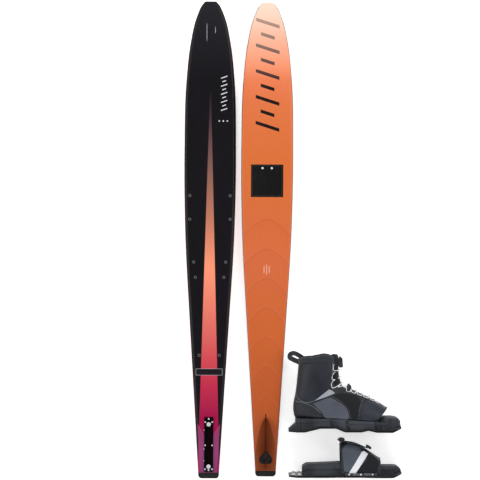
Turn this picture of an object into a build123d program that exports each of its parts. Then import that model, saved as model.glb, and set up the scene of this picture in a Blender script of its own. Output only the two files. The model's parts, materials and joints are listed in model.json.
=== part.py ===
from build123d import *
import math
import os

# A slalom water ski pair with its front boot and rear toe plate, laid out flat.
# Frame: +Z up, +Y towards the ski tips, origin at the middle of the layout on the floor. Millimetres.

os.makedirs("parts", exist_ok=True)

# Ski: distances run from the tip, or from the tail where the name says so.
SKI_LENGTH = 1651.0
GUARD_LENGTH = 20.0
TIP_RISE = 62.0
TIP_ROCKER_LENGTH = 540.0
TAIL_RISE = 9.0
TAIL_ROCKER_LENGTH = 401.0
THICKNESS = 20.0
TIP_THICKNESS = 9.0
TAIL_TOP = 18.6
TOP_FLAT_FRONT = 600.0
TOP_FLAT_REAR = 900.0
SKIN = 2.0
GLUE = 0.15
RAIL_STEP = 6.0
NOSE_FLAT = 17.0
NOSE_TRIM = 0.5
TIP_FACETS = 10
TAIL_FACETS = 4
OUTLINE = (  # distance from the tip, half width
    (14, 31),
    (62, 52),
    (140, 69.5),
    (270, 84),
    (500, 90),
    (820, 85),
    (1100, 69),
    (1360, 52.7),
    (1631, 36),
)

# Threaded inserts: distance from the tail, spacing across the ski.
SEGMENT_ENDS = (135, 270, 405, 540, 1250, 1432, 1628)  # distances from the tip; the last two bound the slot
INSERT_PAIRS = ((978, 140), (896, 140), (747, 111), (694, 99), (424, 70))
INSERT_RADIUS = 4.8
INSERT_DEPTH = 12.0
INSERT_PROUD = 0.4
THREAD_RADIUS = 3.175

# Fin box: distances from the tail, heights above the base plane.
BOX_FRONT = 211.0
BOX_REAR = 23.0
WELL_FRONT = 176.0
WELL_REAR = 51.0
BOX_HALF_WIDTH = 15.5
RAIL_INNER = 8.5
BOX_FLOOR = 14.0
BOX_TOP = 24.0
PAD_TOP = 22.5
CLAMP_HEIGHT = 21.0
SLOT_FRONT = 219.0
SLOT_HALF_WIDTH = 1.6
BOX_GAP = 0.1
RAIL_SCREWS = (194.0, 114.0, 32.0)
END_SCREWS = (205.0, 29.0)
CLAMP_SCREWS = (166.0, 101.0, 61.0)
ADJUSTERS = (186.0, 41.0)
ADJUSTER_TRAVEL = 4.0
ADJUSTER_RADIUS = 4.0

# Fin and wing.
FIN_THICKNESS = 1.8
FIN_DEPTH = 60.0
WING_PIVOT = (86.0, -28.0)  # distance from the tail, height
WING_LOCK = (62.0, -28.0)
WING_HALF_WIDTH = 23.5
WING_SHEET = 1.4
WING_CLEARANCE = 0.2

# How each ski lies: place of its middle, pitch, and the slight turn across the floor.
LEFT_X = -285.0
RIGHT_X = -87.0
SKI_Y = -1.3
LEFT_PITCH = 3.32
RIGHT_PITCH = -1.59
LEFT_TURN = -0.26
RIGHT_TURN = -0.3

# Boot and toe plate: u runs heel to toe, v up from the sole, w across.
BOOT_X = -13.0
BOOT_Y = -661.0
TOE_X = -12.0
TOE_Y = -816.0
PLATE_HALF_WIDTH = 75.0
MIDDLE_Z = PLATE_HALF_WIDTH
PLATE_THICKNESS = 7.0
BOOT_PLATE_BOTTOM = [
    (0, 0),
    (54, 0),
    (80, 6),
    (108, 13),
    (161, 13),
    (193, 0),
    (250, 0),
    (272, 6),
    (301, 0),
    (355, 0),
    (386, 12),
]
TOE_PLATE_BOTTOM = [(0, 0), (355, 0), (386, 12)]
PLATE_PLAN = [(-1, 40), (30, 66), (125, 66), (175, 62), (250, 62), (295, 75), (368, 75), (388, 52)]
PLATE_HOLE_RADIUS = 3.5
PLATE_HOLE_STEP = 14.0
PLATE_FRONT_HOLES = 335.0
PLATE_REAR_HOLES = 104.0
BOOT_FRONT_SPACING = 140.0
BOOT_REAR_SPACING = 111.0
TOE_FRONT_SPACING = 111.0
TOE_REAR_SPACING = 70.0
SOLE_SCREWS = (40.0, 222.0, 335.0)
SOLE_SCREW_RADIUS = 2.5
SCREW_TOP = 24.0
FIT = 0.3

# Boot.
SOLE_V = 45.0
FLEX_U = 90.0
FLEX_V = 107.0
FLEX_WEDGE = 31.0
COLLAR_LOW = 237.0
COLLAR_HIGH = 262.0
TONGUE_LOW = 172.0
TONGUE_HIGH = 266.0
SHELL_WALL = 5.0
SLOT_HALF = 22.0
LOOP_WIDTH = 20.0
LACE_RADIUS = 1.6
EYELET_RADIUS = 3.5
FOOT_PLAN = [(17, 22), (26, 34), (60, 42), (120, 41), (200, 49), (280, 54), (344, 50)]
SHELL_SIDE = (
    (20, SOLE_V + GLUE),
    (17, 76),
    (22, FLEX_V - FIT),
    (FLEX_U, FLEX_V - FIT),
    (176, 130),
    (221, 133),
    (249, 127),
    (283, 114),
    (338, 84),
    (341, 78),
    (297, SOLE_V + GLUE),
)
CAVITY = (
    (28, 50),
    (25, 77),
    (30, 125),
    (172, 160),
    (184, 125),
    (221, 128),
    (246, 121),
    (280, 108),
    (365, 62),
    (365, 50),
)

# Lace locks.
LOCK_DEPTH = 15.0
LOCK_HALF_WIDTH = 12.0
BUTTON_RADIUS = 4.0
BUTTON_TRAVEL = 3.0
BUTTON_BORE = 12.0

# Toe plate.
OVERLAY_CROWN = ((178, 114.5), (248, 106), (314, 62))
OVERLAY_FOOT = 9.0
FOOTBED_HALF_WIDTH = 38.0
SCREW_ROOM = 1.0
POCKET_TOP = 32.0
OVERLAY_HALF_WIDTH = 56.0
OVERLAY_WALL = 4.0
BAR_LOW = 7.2
BAR_WIDTH = 5.0
BAR_HEIGHT = 8.0
BAR_SCREWS = (206.0, 246.0, 286.0)
REAR_SCREWS = (16.0, 36.0)


# --- ski shape -------------------------------------------------------------------------------

def bend(rise, length, reached):
    """Height of a tangent circular bend after this much of its length."""
    radius = (length**2 + rise**2) / (2 * rise)
    return radius - math.sqrt(radius**2 - reached**2)


def base_height(distance):
    """Height of the base line: flat in the middle, bent up at both ends."""
    tip = max(0.0, TIP_ROCKER_LENGTH - distance)
    tail = max(0.0, distance - (SKI_LENGTH - TAIL_ROCKER_LENGTH))
    return bend(TIP_RISE, TIP_ROCKER_LENGTH, tip) + bend(TAIL_RISE, TAIL_ROCKER_LENGTH, tail)


def deck_height(distance):
    """Height of the deck line."""
    if distance < TOP_FLAT_FRONT:
        thinning = ((TOP_FLAT_FRONT - distance) / TOP_FLAT_FRONT) ** 2
        return base_height(distance) + THICKNESS - (THICKNESS - TIP_THICKNESS) * thinning
    behind = max(0.0, distance - TOP_FLAT_REAR) / (SKI_LENGTH - TOP_FLAT_REAR)
    return THICKNESS - (THICKNESS - TAIL_TOP) * behind


def along(from_tail):
    """The ski's own Y for a distance from the tail."""
    return from_tail - SKI_LENGTH / 2


def from_tip(distance):
    """The ski's own Y for a distance from the tip."""
    return SKI_LENGTH / 2 - distance


def distances(start, end, steps):
    return [start + (end - start) * step / steps for step in range(steps + 1)]


def side_view(low_height, low_lift, high_height, high_lift):
    """The closed side view between two height lines, each shifted up by its lift."""
    tail_bend = SKI_LENGTH - TAIL_ROCKER_LENGTH
    base_stops = distances(0, TIP_ROCKER_LENGTH, TIP_FACETS)
    base_stops += distances(tail_bend, SKI_LENGTH, TAIL_FACETS)
    deck_stops = distances(0, TOP_FLAT_FRONT, TIP_FACETS) + [TOP_FLAT_REAR, SKI_LENGTH]
    low_stops = base_stops if low_height is base_height else deck_stops
    high_stops = base_stops if high_height is base_height else deck_stops
    low = [(from_tip(stop), low_height(stop) + low_lift) for stop in low_stops]
    high = [(from_tip(stop), high_height(stop) + high_lift) for stop in high_stops]
    with BuildSketch(Plane.YZ) as view:
        with BuildLine():
            Polyline(*low, *reversed(high), close=True)
        make_face()
    return view.sketch


def base_side_view():
    return side_view(base_height, 0, base_height, SKIN)


def deck_side_view():
    return side_view(deck_height, -SKIN, deck_height, 0)


def body_side_view(gap):
    """Everything between base and deck, less a gap at both."""
    return side_view(base_height, gap, deck_height, -gap)


def outline(inset):
    """The ski from above: blunt nose with round corners, widest ahead of the middle, thin tail."""
    tip = SKI_LENGTH / 2 - NOSE_TRIM - inset
    flat = NOSE_FLAT - inset / 2
    corner_half = OUTLINE[0][1] - inset
    corner_y = from_tip(OUTLINE[0][0])
    tail_half = OUTLINE[-1][1] - inset
    bulge_half = flat + 0.71 * (corner_half - flat)
    bulge_y = tip - 0.29 * (tip - corner_y)
    with BuildSketch() as view:
        with BuildLine():
            Line((-flat, tip), (flat, tip))
            for side in (-1, 1):
                corner = (side * corner_half, corner_y)
                ThreePointArc((side * flat, tip), (side * bulge_half, bulge_y), corner)
                Spline([(side * (half - inset), from_tip(distance)) for distance, half in OUTLINE])
            Line((-tail_half, along(GUARD_LENGTH)), (tail_half, along(GUARD_LENGTH)))
        make_face()
    return view.sketch


def ski_layer(view, inset, *cuts):
    """One layer of the ski: its side view and its outline crossed, then its cuts.

    It is divided across where the ski bends and at the slot's ends, so that every solid is simple.
    """
    from_above = outline(inset)
    with BuildPart() as layer:
        extrude(view, amount=100, both=True)
        extrude(from_above, amount=120, mode=Mode.INTERSECT)
        for cut in cuts:
            cut()
        for distance in SEGMENT_ENDS:
            across = Plane(origin=(0, from_tip(distance), 0), z_dir=(0, 1, 0))
            split(bisect_by=across, keep=Keep.BOTH)
    return layer


def cut_slot():
    """The fin's slot, right through the layer."""
    middle = (0, along((SLOT_FRONT + BOX_REAR) / 2), BOX_FLOOR)
    with Locations(middle):
        Box(2 * SLOT_HALF_WIDTH, SLOT_FRONT - BOX_REAR, 60, mode=Mode.SUBTRACT)


def cut_box_recess():
    """The recess that the fin box sits in."""
    middle = (0, along((BOX_FRONT + BOX_REAR) / 2), BOX_FLOOR - BOX_GAP)
    size = (2 * (BOX_HALF_WIDTH + BOX_GAP), BOX_FRONT - BOX_REAR + 2 * BOX_GAP, 30)
    with Locations(middle):
        Box(*size, align=(Align.CENTER, Align.CENTER, Align.MIN), mode=Mode.SUBTRACT)


def insert_places():
    """The top centre of each threaded insert."""
    places = []
    for from_tail, spacing in INSERT_PAIRS:
        top = deck_height(SKI_LENGTH - from_tail) + INSERT_PROUD
        places.append((-spacing / 2, along(from_tail), top))
        places.append((spacing / 2, along(from_tail), top))
    return places


def cut_insert_holes():
    with Locations(*insert_places()):
        Cylinder(
            INSERT_RADIUS + GLUE,
            2 * (INSERT_DEPTH + GLUE),
            mode=Mode.SUBTRACT,
        )


def make_tail_guard():
    """The moulded end block that closes the tail."""
    with BuildPart() as guard:
        extrude(body_side_view(0), amount=100, both=True)
        with BuildSketch():
            with Locations((0, along(GUARD_LENGTH / 2 - GLUE / 2))):
                Rectangle(2 * OUTLINE[-1][1] - 1, GUARD_LENGTH - GLUE)
        extrude(amount=120, mode=Mode.INTERSECT)
        end_corners = guard.edges().filter_by(Axis.Z).group_by(Axis.Y)[0]
        fillet(end_corners, 12)
    return guard


def make_inserts():
    with BuildPart() as inserts:
        for place in insert_places():
            with BuildSketch(Plane(origin=place)):
                Circle(INSERT_RADIUS)
                Circle(THREAD_RADIUS, mode=Mode.SUBTRACT)
            extrude(amount=-INSERT_DEPTH)
    return inserts


# --- fin box -----------------------------------------------------------------------------------

def drill_rail(side):
    """Screw holes down through one rail."""
    places = [(side * 12, along(d), BOX_TOP) for d in RAIL_SCREWS]
    with Locations(*places):
        CounterBoreHole(radius=1.7, counter_bore_radius=2.9, counter_bore_depth=2.5, depth=30)


def make_fin_rail(side):
    """One long rail of the fin box; the left one carries the clamp screws."""
    middle_x = side * (RAIL_INNER + BOX_HALF_WIDTH) / 2
    length = BOX_FRONT - BOX_REAR
    with BuildPart() as rail:
        with BuildSketch(Plane.XY.offset(BOX_FLOOR)):
            with Locations((middle_x, along((BOX_FRONT + BOX_REAR) / 2))):
                Rectangle(BOX_HALF_WIDTH - RAIL_INNER, length)
        extrude(amount=BOX_TOP - BOX_FLOOR)
        top_edges = rail.faces().sort_by(Axis.Z)[-1].edges().filter_by(Axis.Y)
        outer_edge = top_edges.sort_by(Axis.X)[-1 if side > 0 else 0]
        chamfer(outer_edge, 2)
        drill_rail(side)
        if side < 0:
            for from_tail in CLAMP_SCREWS:
                with BuildSketch(Plane.YZ.offset(-BOX_HALF_WIDTH - 1)):
                    with Locations((along(from_tail), CLAMP_HEIGHT)):
                        Circle(1.5)
                extrude(amount=BOX_HALF_WIDTH, mode=Mode.SUBTRACT)
    return rail


def make_end_block(rear, front, screw, adjuster):
    """A block that ties the rails together and carries one adjuster."""
    with BuildPart() as block:
        with BuildSketch(Plane.XY.offset(BOX_FLOOR)):
            with Locations((0, along((rear + front) / 2))):
                Rectangle(2 * (RAIL_INNER - BOX_GAP), front - rear)
        extrude(amount=BOX_TOP - BOX_FLOOR - 1)
        with BuildSketch(Plane.XY.offset(BOX_FLOOR)):
            with Locations((0, along(adjuster))):
                SlotOverall(
                    2 * (ADJUSTER_RADIUS + ADJUSTER_TRAVEL) + 1, 2 * ADJUSTER_RADIUS + 0.8, rotation=90
                )
        extrude(amount=BOX_TOP, mode=Mode.SUBTRACT)
        with Locations((0, along(screw), BOX_TOP - 1)):
            CounterSinkHole(radius=1.7, counter_sink_radius=3.2, depth=30)
    return block


def make_fin_clamps():
    """The two pads that grip the fin's tongue."""
    width = RAIL_INNER - BOX_GAP - FIN_THICKNESS / 2 - BOX_GAP
    with BuildPart() as clamps:
        for side in (-1, 1):
            middle_x = side * (FIN_THICKNESS / 2 + BOX_GAP + width / 2)
            with BuildSketch(Plane.XY.offset(BOX_FLOOR)):
                with Locations((middle_x, along((WELL_FRONT + WELL_REAR) / 2))):
                    Rectangle(width, WELL_FRONT - WELL_REAR - 4)
            extrude(amount=PAD_TOP - BOX_FLOOR)
    return clamps


def make_rail_screws():
    """Button-head screws down through the rails, and one countersunk screw in each end block."""
    shank = 13.0
    with BuildPart() as screws:
        for from_tail in RAIL_SCREWS:
            for side in (-1, 1):
                with BuildSketch(Plane.XY.offset(BOX_TOP - 2.5)):
                    with Locations((side * 12, along(from_tail))):
                        Circle(2.7)
                extrude(amount=2.2)
                with BuildSketch(Plane.XY.offset(BOX_TOP - 2.5)):
                    with Locations((side * 12, along(from_tail))):
                        Circle(1.6)
                extrude(amount=-(BOX_TOP - 2.5 - BOX_FLOOR))
        for from_tail in END_SCREWS:
            with Locations((0, along(from_tail), BOX_TOP - 1.2)):
                Cone(1.5, 2.9, 1.4, align=(Align.CENTER, Align.CENTER, Align.MAX))
            with Locations((0, along(from_tail), BOX_TOP - 2.6)):
                Cylinder(1.5, shank - 6, align=(Align.CENTER, Align.CENTER, Align.MAX))
        heads = [(side * 12, along(d), BOX_TOP) for d in RAIL_SCREWS for side in (-1, 1)]
        with Locations(*heads):
            Cylinder(1.0, 2.6, mode=Mode.SUBTRACT)
    return screws


def make_clamp_screws():
    """The side screws that press the left pad against the fin."""
    with BuildPart() as screws:
        for from_tail in CLAMP_SCREWS:
            with BuildSketch(Plane.YZ.offset(-RAIL_INNER)):
                with Locations((along(from_tail), CLAMP_HEIGHT)):
                    Circle(1.4)
            extrude(amount=-(BOX_HALF_WIDTH - RAIL_INNER + BOX_GAP))
            with BuildSketch(Plane.YZ.offset(-BOX_HALF_WIDTH - BOX_GAP)):
                with Locations((along(from_tail), CLAMP_HEIGHT)):
                    Circle(1.8)
            extrude(amount=-2)
    return screws


def make_adjusters():
    """The two socket-head adjusters that carry the fin and travel along their slots."""
    with BuildPart() as adjusters:
        for from_tail in ADJUSTERS:
            with BuildSketch(Plane.XY.offset(BOX_FLOOR + 1)):
                with Locations((0, along(from_tail))):
                    Circle(ADJUSTER_RADIUS)
            extrude(amount=BOX_TOP - BOX_FLOOR - 1)
            with BuildSketch(Plane.XY.offset(BOX_TOP - 0.8)):
                with Locations((0, along(from_tail))):
                    Circle(7.2)
                    RegularPolygon(3.0, 6, mode=Mode.SUBTRACT)
            extrude(amount=3)
    return adjusters


def make_fin():
    """The fin: a tongue in the box above a blade with a swept front and a rounded rear corner."""
    front = 209.0
    rear = 29.0
    tongue_low = 10.0
    tongue_high = 16.8
    with BuildPart() as fin:
        with BuildSketch(Plane.YZ.offset(-FIN_THICKNESS / 2)):
            with BuildLine():
                Polyline(
                    (along(front), 2),
                    (along(front), tongue_low),
                    (along(167), tongue_low),
                    (along(167), tongue_high),
                    (along(60), tongue_high),
                    (along(60), tongue_low),
                    (along(rear), tongue_low),
                    (along(rear), -32),
                )
                ThreePointArc(
                    (along(rear), -32), (along(37), -FIN_DEPTH + 8), (along(58), -FIN_DEPTH)
                )
                Line((along(58), -FIN_DEPTH), (along(146), -FIN_DEPTH))
                ThreePointArc(
                    (along(146), -FIN_DEPTH), (along(187), -FIN_DEPTH + 25), (along(front), 2)
                )
            make_face()
            with Locations((along(WING_PIVOT[0]), WING_PIVOT[1])):
                Circle(2.1, mode=Mode.SUBTRACT)
            with Locations((along(WING_LOCK[0]), WING_LOCK[1])):
                Circle(5.5, mode=Mode.SUBTRACT)
        extrude(amount=FIN_THICKNESS)
        split(bisect_by=Plane.XY.offset(tongue_low), keep=Keep.BOTH)
    return fin


def make_wing():
    """The two halves of the spade-shaped wing, each folded up against the fin."""
    inner = FIN_THICKNESS / 2 + WING_CLEARANCE
    level = WING_PIVOT[1] - 8
    with BuildPart() as wing:
        for side in (-1, 1):
            with BuildSketch(Plane.XY.offset(level)):
                with BuildLine():
                    Line((side * inner, along(51)), (side * inner, along(97)))
                    Line((side * inner, along(97)), (side * 4, along(97)))
                    Spline(
                        (side * 4, along(97)),
                        (side * 14, along(82)),
                        (side * WING_HALF_WIDTH, along(64)),
                        (side * 18, along(53)),
                        (side * 7, along(51)),
                    )
                    Line((side * 7, along(51)), (side * inner, along(51)))
                make_face()
            extrude(amount=WING_SHEET)
            with BuildSketch(Plane.XY.offset(level)):
                with Locations((side * (inner + WING_SHEET / 2), along(74))):
                    Rectangle(WING_SHEET, 38)
            extrude(amount=16)
        for from_tail, height in (WING_PIVOT, WING_LOCK):
            with BuildSketch(Plane.YZ.offset(-8)):
                with Locations((along(from_tail), height)):
                    Circle(1.7)
            extrude(amount=16, mode=Mode.SUBTRACT)
    return wing


def make_wing_screws():
    outer = FIN_THICKNESS / 2 + WING_CLEARANCE + WING_SHEET
    with BuildPart() as screws:
        for from_tail, height in (WING_PIVOT, WING_LOCK):
            with BuildSketch(Plane.YZ.offset(-outer - 0.1)):
                with Locations((along(from_tail), height)):
                    Circle(1.6)
            extrude(amount=2 * outer + 0.2)
            for side in (-1, 1):
                with BuildSketch(Plane.YZ.offset(side * (outer + 0.1))):
                    with Locations((along(from_tail), height)):
                        Circle(3)
                extrude(amount=side * 1.8)
    return screws


def make_ski():
    """Every piece of one ski in the ski's own frame, deck up, base flat at zero height."""
    return {
        "base": ski_layer(base_side_view(), 0, cut_slot),
        "deck": ski_layer(deck_side_view(), RAIL_STEP, cut_slot, cut_box_recess, cut_insert_holes),
        "core": ski_layer(body_side_view(SKIN + GLUE), 0, cut_slot, cut_box_recess, cut_insert_holes),
        "tail_guard": make_tail_guard(),
        "inserts": make_inserts(),
        "fin_rail_left": make_fin_rail(-1),
        "fin_rail_right": make_fin_rail(1),
        "fin_front_block": make_end_block(WELL_FRONT, BOX_FRONT, END_SCREWS[0], ADJUSTERS[0]),
        "fin_rear_block": make_end_block(BOX_REAR, WELL_REAR, END_SCREWS[1], ADJUSTERS[1]),
        "fin_clamps": make_fin_clamps(),
        "fin_box_screws": make_rail_screws(),
        "clamp_screws": make_clamp_screws(),
        "fin_adjusters": make_adjusters(),
        "fin": make_fin(),
        "wing": make_wing(),
        "wing_screws": make_wing_screws(),
    }


def export_ski(pieces, side, turned):
    """Turn the ski's pieces as it lies, set it down on the floor and write them."""
    placed = {name: piece.part.moved(turned) for name, piece in pieces.items()}
    lowest = min(piece.bounding_box().min.Z for piece in placed.values())
    print(side, "lift", round(-lowest, 3))
    for name, piece in placed.items():
        lying = piece.moved(Location((0, 0, -lowest)))
        lying.label = f"{side}_ski_{name}"
        export_step(lying, f"parts/{lying.label}.step")


# --- bindings ----------------------------------------------------------------------------------

def side_plane(x, y):
    """A binding's upright middle plane as it lies on its side: u, then v."""
    return Plane(origin=(x, y, MIDDLE_Z), x_dir=(1, 0, 0), z_dir=(0, 0, 1))


def level_plane(x, y, height):
    """The plane parallel to a binding's sole at this height: u, then across."""
    return Plane(origin=(x, y + height, MIDDLE_Z), x_dir=(1, 0, 0), z_dir=(0, 1, 0))


def across_plane(x, y, forward):
    """The cross-section plane of a binding this far from its heel: across, then v."""
    return Plane(origin=(x + forward, y, MIDDLE_Z), x_dir=(0, 0, -1), z_dir=(1, 0, 0))


BOOT_SIDE = side_plane(BOOT_X, BOOT_Y)
TOE_SIDE = side_plane(TOE_X, TOE_Y)


def slab(plane, points, half_width):
    """A side-view polygon given its width."""
    with BuildPart() as piece:
        with BuildSketch(plane):
            with BuildLine():
                Polyline(*points, close=True)
            make_face()
        extrude(amount=half_width, both=True)
    return piece.part


def plan_prism(plane, right_side, height):
    """A plan outline, mirrored about the middle, extruded upwards."""
    with BuildPart() as prism:
        with BuildSketch(plane):
            with BuildLine():
                Polyline(*right_side, *[(u, -half) for u, half in reversed(right_side)], close=True)
            make_face()
        extrude(amount=height)
    return prism.part


def plate_top(bottom, lift):
    """A plate's upper line, from its lower one."""
    return [(u, v + PLATE_THICKNESS + lift) for u, v in bottom]


def make_plate(bottom, x, y, front_spacing, rear_spacing):
    """A binding's plate with its rows of mounting holes and its sole screw holes."""
    with BuildPart() as plate:
        add(slab(side_plane(x, y), bottom + plate_top(bottom, 0)[::-1], PLATE_HALF_WIDTH))
        add(plan_prism(level_plane(x, y, -1), PLATE_PLAN, 60), mode=Mode.INTERSECT)
        rows = ((PLATE_FRONT_HOLES, front_spacing), (PLATE_REAR_HOLES, rear_spacing))
        for u, spacing in rows:
            with BuildSketch(level_plane(x, y, -1)):
                with Locations((u, 0)):
                    with GridLocations(PLATE_HOLE_STEP, spacing, 3, 2):
                        Circle(PLATE_HOLE_RADIUS)
            extrude(amount=40, mode=Mode.SUBTRACT)
        with BuildSketch(level_plane(x, y, -1)):
            with Locations(*[(u, 0) for u in SOLE_SCREWS]):
                Circle(SOLE_SCREW_RADIUS + FIT)
        extrude(amount=40, mode=Mode.SUBTRACT)
    return plate


def make_lock(origin, degrees, length):
    """A lace lock's body with the bore for its button, and the button itself."""
    plane = Plane(origin=origin, x_dir=(1, 0, 0), z_dir=(0, 0, 1)).rotated((0, 0, degrees))
    end = Plane(origin=plane.from_local_coords((0, length / 2, 0)), z_dir=plane.y_dir)
    with BuildPart() as lock:
        with BuildSketch(plane):
            RectangleRounded(LOCK_DEPTH, length, 5)
        extrude(amount=LOCK_HALF_WIDTH, both=True)
        with BuildSketch(end):
            Circle(BUTTON_RADIUS + FIT)
        extrude(amount=-BUTTON_BORE, mode=Mode.SUBTRACT)
    with BuildPart() as button:
        with BuildSketch(end.offset(BUTTON_TRAVEL + 1)):
            Circle(BUTTON_RADIUS)
        extrude(amount=-BUTTON_BORE)
    return lock, button


# --- boot --------------------------------------------------------------------------------------

def foot_plan(grow):
    """The boot's plan, heel to toe, made wider or narrower by grow."""
    return [(u - grow * (u < 20), half + grow) for u, half in FOOT_PLAN]


def ankle(height):
    """Centre, half length and half width of the ankle's oval at this height."""
    rise = (height - FLEX_V) / (COLLAR_HIGH - FLEX_V)
    return 103 - 2 * rise, 79 - 11 * rise, 50 + 6 * rise


def ankle_solid(low, high, inset):
    """A tapering oval block around the ankle between two heights."""
    with BuildPart() as block:
        for height in (low, high):
            centre, half_length, half_width = ankle(height)
            with BuildSketch(level_plane(BOOT_X, BOOT_Y, height)):
                with Locations((centre, 0)):
                    Ellipse(half_length - inset, half_width - inset)
        loft()
    return block.part


def front_slot(half_width):
    """The space down the front of the ankle for the tongue and the laces."""
    return slab(BOOT_SIDE, ((130, 100), (220, 100), (220, 280), (130, 280)), half_width)


def under_cuff():
    """Everything below the cuff's lower edge, with the wedge that lets it flex forward."""
    rise = (200 - FLEX_U) * math.tan(math.radians(FLEX_WEDGE))
    points = ((0, 80), (0, FLEX_V), (FLEX_U, FLEX_V), (200, FLEX_V + rise), (200, 80))
    return slab(BOOT_SIDE, points, 90)


def make_ankle_tube(low, high, outer, inner):
    """One layer around the ankle, open down the front and clear of the shell below."""
    around = ankle_solid(low, high, outer)
    inside = ankle_solid(low - 1, high + 1, inner)
    slot = front_slot(SLOT_HALF)
    below = under_cuff()
    with BuildPart() as tube:
        add(around)
        for taken in (inside, slot, below):
            add(taken, mode=Mode.SUBTRACT)
    return tube


def make_shell():
    """The lower boot shell, open at the toes and at the ankle."""
    foot = plan_prism(level_plane(BOOT_X, BOOT_Y, 40), foot_plan(0), 120)
    hollow = slab(BOOT_SIDE, CAVITY, 90) & plan_prism(
        level_plane(BOOT_X, BOOT_Y, 40), foot_plan(-SHELL_WALL), 140
    )
    toe_way = slab(BOOT_SIDE, ((300, 50), (300, 96), (372, 60), (372, 50)), 44)
    with BuildPart() as shell:
        add(slab(BOOT_SIDE, SHELL_SIDE, 90))
        add(foot, mode=Mode.INTERSECT)
        add(hollow, mode=Mode.SUBTRACT)
        add(toe_way, mode=Mode.SUBTRACT)
    return shell


def make_midsole():
    """The foam block between the plate and the shell."""
    under = plate_top(BOOT_PLATE_BOTTOM, GLUE)
    low = [point for point in under if 50 < point[0] < 310]
    side = [(8, under[0][1]), *low, (320, under[8][1]), (320, SOLE_V), (22, SOLE_V), (24, 30)]
    plan = plan_prism(level_plane(BOOT_X, BOOT_Y, 0), foot_plan(4), 120)
    with BuildPart() as midsole:
        add(slab(BOOT_SIDE, side, 90))
        add(plan, mode=Mode.INTERSECT)
        with BuildSketch(level_plane(BOOT_X, BOOT_Y, 0)):
            with Locations(*[(u, 0) for u in SOLE_SCREWS[:2]]):
                Circle(SOLE_SCREW_RADIUS + FIT)
        extrude(amount=SCREW_TOP + 1, mode=Mode.SUBTRACT)
    return midsole


def make_toe_pad():
    """The raised foam pad ahead of the boot."""
    under = plate_top(BOOT_PLATE_BOTTOM, GLUE)
    side = [
        (321, under[8][1]),
        under[9],
        under[10],
        (385, 38),
        (378, 47),
        (364, 51),
        (345.5, 51),
        (345.5, SOLE_V),
        (321, SOLE_V),
    ]
    with BuildPart() as pad:
        add(slab(BOOT_SIDE, side, 46))
        with BuildSketch(level_plane(BOOT_X, BOOT_Y, 0)):
            with Locations((SOLE_SCREWS[2], 0)):
                Circle(SOLE_SCREW_RADIUS + FIT)
        extrude(amount=SCREW_TOP + 1, mode=Mode.SUBTRACT)
    return pad


def make_plate_screws():
    """The screws that hold the boot to its plate from below."""
    with BuildPart() as screws:
        with BuildSketch(level_plane(BOOT_X, BOOT_Y, 0.5)):
            with Locations(*[(u, 0) for u in SOLE_SCREWS]):
                Circle(SOLE_SCREW_RADIUS)
        extrude(amount=SCREW_TOP)
    return screws


def make_tongue():
    """The tongue that fills the front slot."""
    around = ankle_solid(TONGUE_LOW, TONGUE_HIGH, 1)
    inside = ankle_solid(TONGUE_LOW - 1, TONGUE_HIGH + 1, SHELL_WALL + 6)
    strip = front_slot(SLOT_HALF - FIT)
    with BuildPart() as tongue:
        add(around)
        add(inside, mode=Mode.SUBTRACT)
        add(strip, mode=Mode.INTERSECT)
    return tongue


def make_heel_loop():
    """The webbing pull loop behind the collar."""
    outer = ((30, 234), (11, 236), (-1, 251), (4, 265), (16, 273), (25, 266), (26, 256))
    inner = ((25, 238), (14, 240), (4, 252), (8, 263), (16, 268), (21, 263), (22, 255))
    with BuildPart() as loop:
        with BuildSketch(BOOT_SIDE):
            with BuildLine():
                Polyline(*outer, close=True)
            make_face()
            with BuildLine():
                Polyline(*inner, close=True)
            make_face(mode=Mode.SUBTRACT)
        extrude(amount=LOOP_WIDTH / 2, both=True)
    return loop


def front_plane(u, v, degrees, gap):
    """A plane over the boot's front: X runs down towards the toe, Y across, Z outwards."""
    turn = math.radians(degrees)
    outwards = (-math.sin(turn), math.cos(turn), 0)
    origin = (BOOT_X + u + outwards[0] * gap, BOOT_Y + v + outwards[1] * gap, MIDDLE_Z)
    return Plane(origin=origin, x_dir=(math.cos(turn), math.sin(turn), 0), z_dir=outwards)


# The plane, crossings, pitch and half width of each run of lace.
VAMP_LACE = (front_plane(236, 134, -26.4, 4.9), 5, 18.0, 18.0)
CUFF_LACE = (front_plane(177.5, 217, -86, 3.0), 3, 17.0, 15.0)


def make_lace(plane, crossings, pitch, half_width):
    """One run of lace: across, a short way on through a guide, and back."""
    points = [(0, -half_width)]
    for number in range(crossings):
        side = 1 if number % 2 == 0 else -1
        points.append(((number + 0.4) * pitch, side * half_width))
        points.append(((number + 1) * pitch, side * half_width))
    with BuildPart() as lace:
        with BuildLine(plane) as route:
            FilletPolyline(*points, radius=0.28 * pitch)
        with BuildSketch(Plane(origin=route.line @ 0, z_dir=route.line % 0)):
            Circle(LACE_RADIUS)
        sweep()
    return lace


def make_eyelets(plane, crossings, pitch, half_width):
    """Round lace guides beside the turns of one run."""
    reach = half_width + LACE_RADIUS + EYELET_RADIUS + 0.5
    with BuildPart() as eyelets:
        for number in range(crossings):
            side = 1 if number % 2 == 0 else -1
            with BuildSketch(plane.offset(-LACE_RADIUS)):
                with Locations(((number + 0.7) * pitch, side * reach)):
                    Circle(EYELET_RADIUS)
                    Circle(EYELET_RADIUS / 2, mode=Mode.SUBTRACT)
            extrude(amount=2.4)
    return eyelets


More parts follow.
